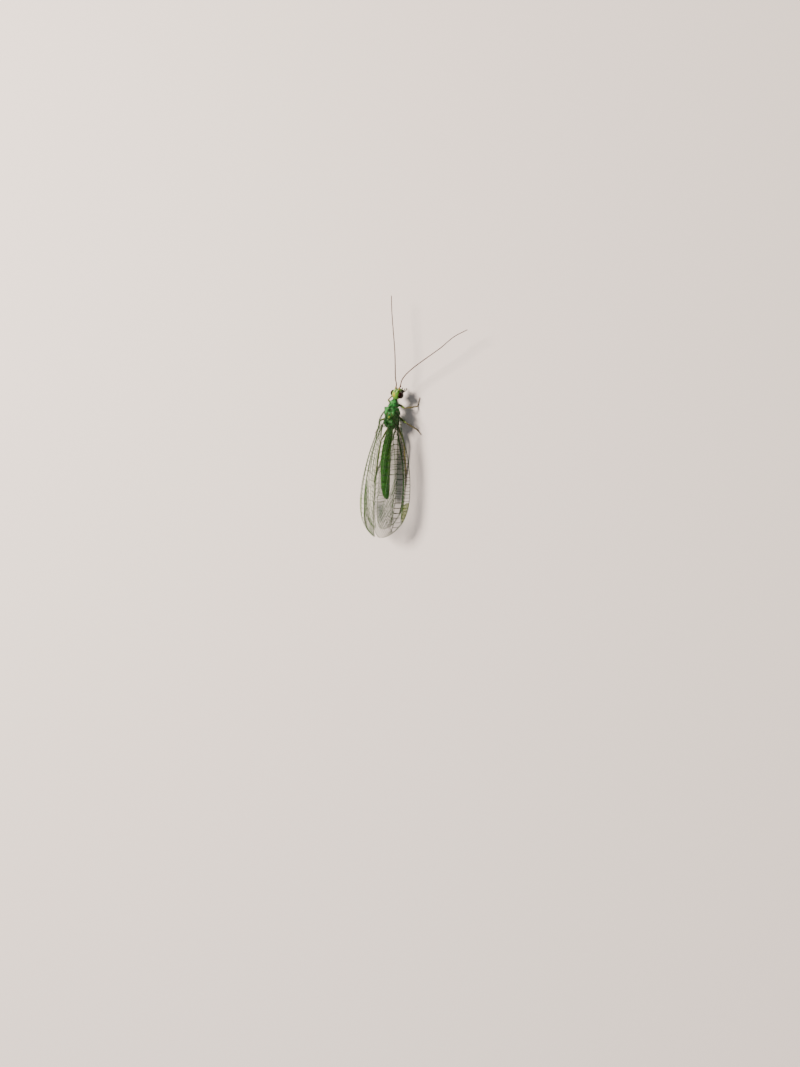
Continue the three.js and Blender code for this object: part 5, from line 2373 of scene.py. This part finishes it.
@dataclass(frozen=True)
class PhotoCamera:
    """The camera, worked out from how the insect stands in the picture of 800 x 1067 pixels.

    In the camera's frame x is to the right of the picture, y is up and z points back at the camera. The floor's
    normal and the heading in that frame, and the pixel of one known place on the head, fix where it stands.
    """

    picture: tuple[int, int] = (800, 1067)
    focal: float = 802.0  # in pixels
    floor_normal: Point = (-0.350, -0.039, 0.936)
    heading: float = math.radians(7)  # of the head, from the top of the picture towards its right
    mark: Point = (-0.1, 0.0, 1.6)  # a place inside the head
    mark_pixel: tuple[float, float] = (395.6, 394.0)
    distance: float = 80.0
    sensor: float = 36.0

    def build(self) -> Piece:
        """Create the camera and make it the scene's.

        Returns:
            The camera.
        """
        up = np.array(self.floor_normal) / np.linalg.norm(self.floor_normal)
        ahead = np.array([math.sin(self.heading), math.cos(self.heading), 0.0])
        ahead[2] = -(ahead @ up) / up[2]
        ahead /= np.linalg.norm(ahead)
        left = np.cross(up, ahead)
        turn = np.stack([left, -ahead, up], 1)
        middle = np.array(self.picture) / 2
        offset = (np.array(self.mark_pixel) - middle) / self.focal * self.distance
        seen = np.array([offset[0], -offset[1], -self.distance])
        location = PLACE.row(np.array(self.mark) - turn.T @ seen)
        lens = bpy.data.cameras.new("photo_camera")
        lens.sensor_width = self.sensor
        lens.lens = self.focal * self.sensor / max(self.picture)
        lens.clip_start = self.distance * MM / 100
        lens.clip_end = 10.0
        camera = bpy.data.objects.new("photo_camera", lens)
        bpy.context.scene.collection.objects.link(camera)
        matrix = Matrix([[*row, 0.0] for row in turn.T] + [[0.0, 0.0, 0.0, 1.0]])
        matrix.translation = Vector(location)
        camera.matrix_world = matrix
        bpy.context.scene.camera = camera
        return camera


@dataclass(frozen=True)
class Lamp:
    """A soft area light: where it stands and how wide it is in mm, its power in watts and its colour."""

    name: str
    at: Point
    width: float
    power: float
    colour: str = "#ffffff"

    def build(self, target: Point = (0.0, 4.0, 1.5)) -> Piece:
        """Create the light.

        Args:
            target: The place that it is turned to.

        Returns:
            The light.
        """
        data = bpy.data.lights.new(self.name, "AREA")
        data.shape = "DISK"
        data.size = self.width * MM
        data.energy = self.power
        data.color = linear(self.colour)[:3]
        lamp = bpy.data.objects.new(self.name, data)
        bpy.context.scene.collection.objects.link(lamp)
        start, goal = Vector(PLACE.row(self.at)), Vector(PLACE.row(target))
        lamp.location = start
        lamp.rotation_mode = "QUATERNION"
        lamp.rotation_quaternion = (goal - start).to_track_quat("-Z", "Y")
        return lamp


@dataclass(frozen=True)
class Studio:
    """A pale floor, three soft lights and an even sky."""

    floor: float = 4000.0
    sky: str = "#e9ecef"
    sky_strength: float = 0.18
    lamps: tuple[Lamp, ...] = (
        Lamp("key_light", (170, -50, 235), 95, 3.2, "#fff4e6"),
        Lamp("fill_light", (-220, 60, 160), 240, 0.16, "#eaf1ff"),
        Lamp("back_light", (30, 260, 150), 160, 0.4),
    )

    def build(self) -> None:
        """Create floor, lights and sky."""
        half = self.floor / 2
        corners = np.array([[-half, -half, 0], [half, -half, 0], [half, half, 0], [-half, half, 0]])
        floor = Solid(corners, np.array([[0, 1, 2], [0, 2, 3]])).to_object("floor", PLACE.row)
        floor.data.materials.append(Surface.FLOOR.value.material())
        floor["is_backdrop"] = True
        for lamp in self.lamps:
            lamp.build()
        world = bpy.data.worlds.new("soft_sky")
        world.use_nodes = True
        ground = world.node_tree.nodes["Background"]
        ground.inputs["Color"].default_value = linear(self.sky)
        ground.inputs["Strength"].default_value = self.sky_strength
        bpy.context.scene.world = world
        log.info("studio: floor, %d lights and sky", len(self.lamps))


def write_sizes() -> None:
    """Gather the CAD box and the visual model's box as plain lists, which are then dropped."""
    boxes = {"cad": CAD_BOX, "visual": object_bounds()}
    {name: [list(corner) for corner in box] for name, box in boxes.items()}


def main() -> None:
    """Build the lacewing and its studio, piece by piece."""
    logging.basicConfig(level=logging.INFO, format="%(message)s")
    PhotoCamera().build()
    Studio().build()
    skin = Skin()
    skin.build()
    skin.claws()
    for side in SIDES:
        CompoundEye(side).build()
        feeler = Feeler(side)
        feeler.build()
        feeler.hairs()
        for plan in (FOREWING, HINDWING):
            Wing(plan, side).build()
    Coat(skin).build()
    write_sizes()


if __name__ == "__main__":
    main()
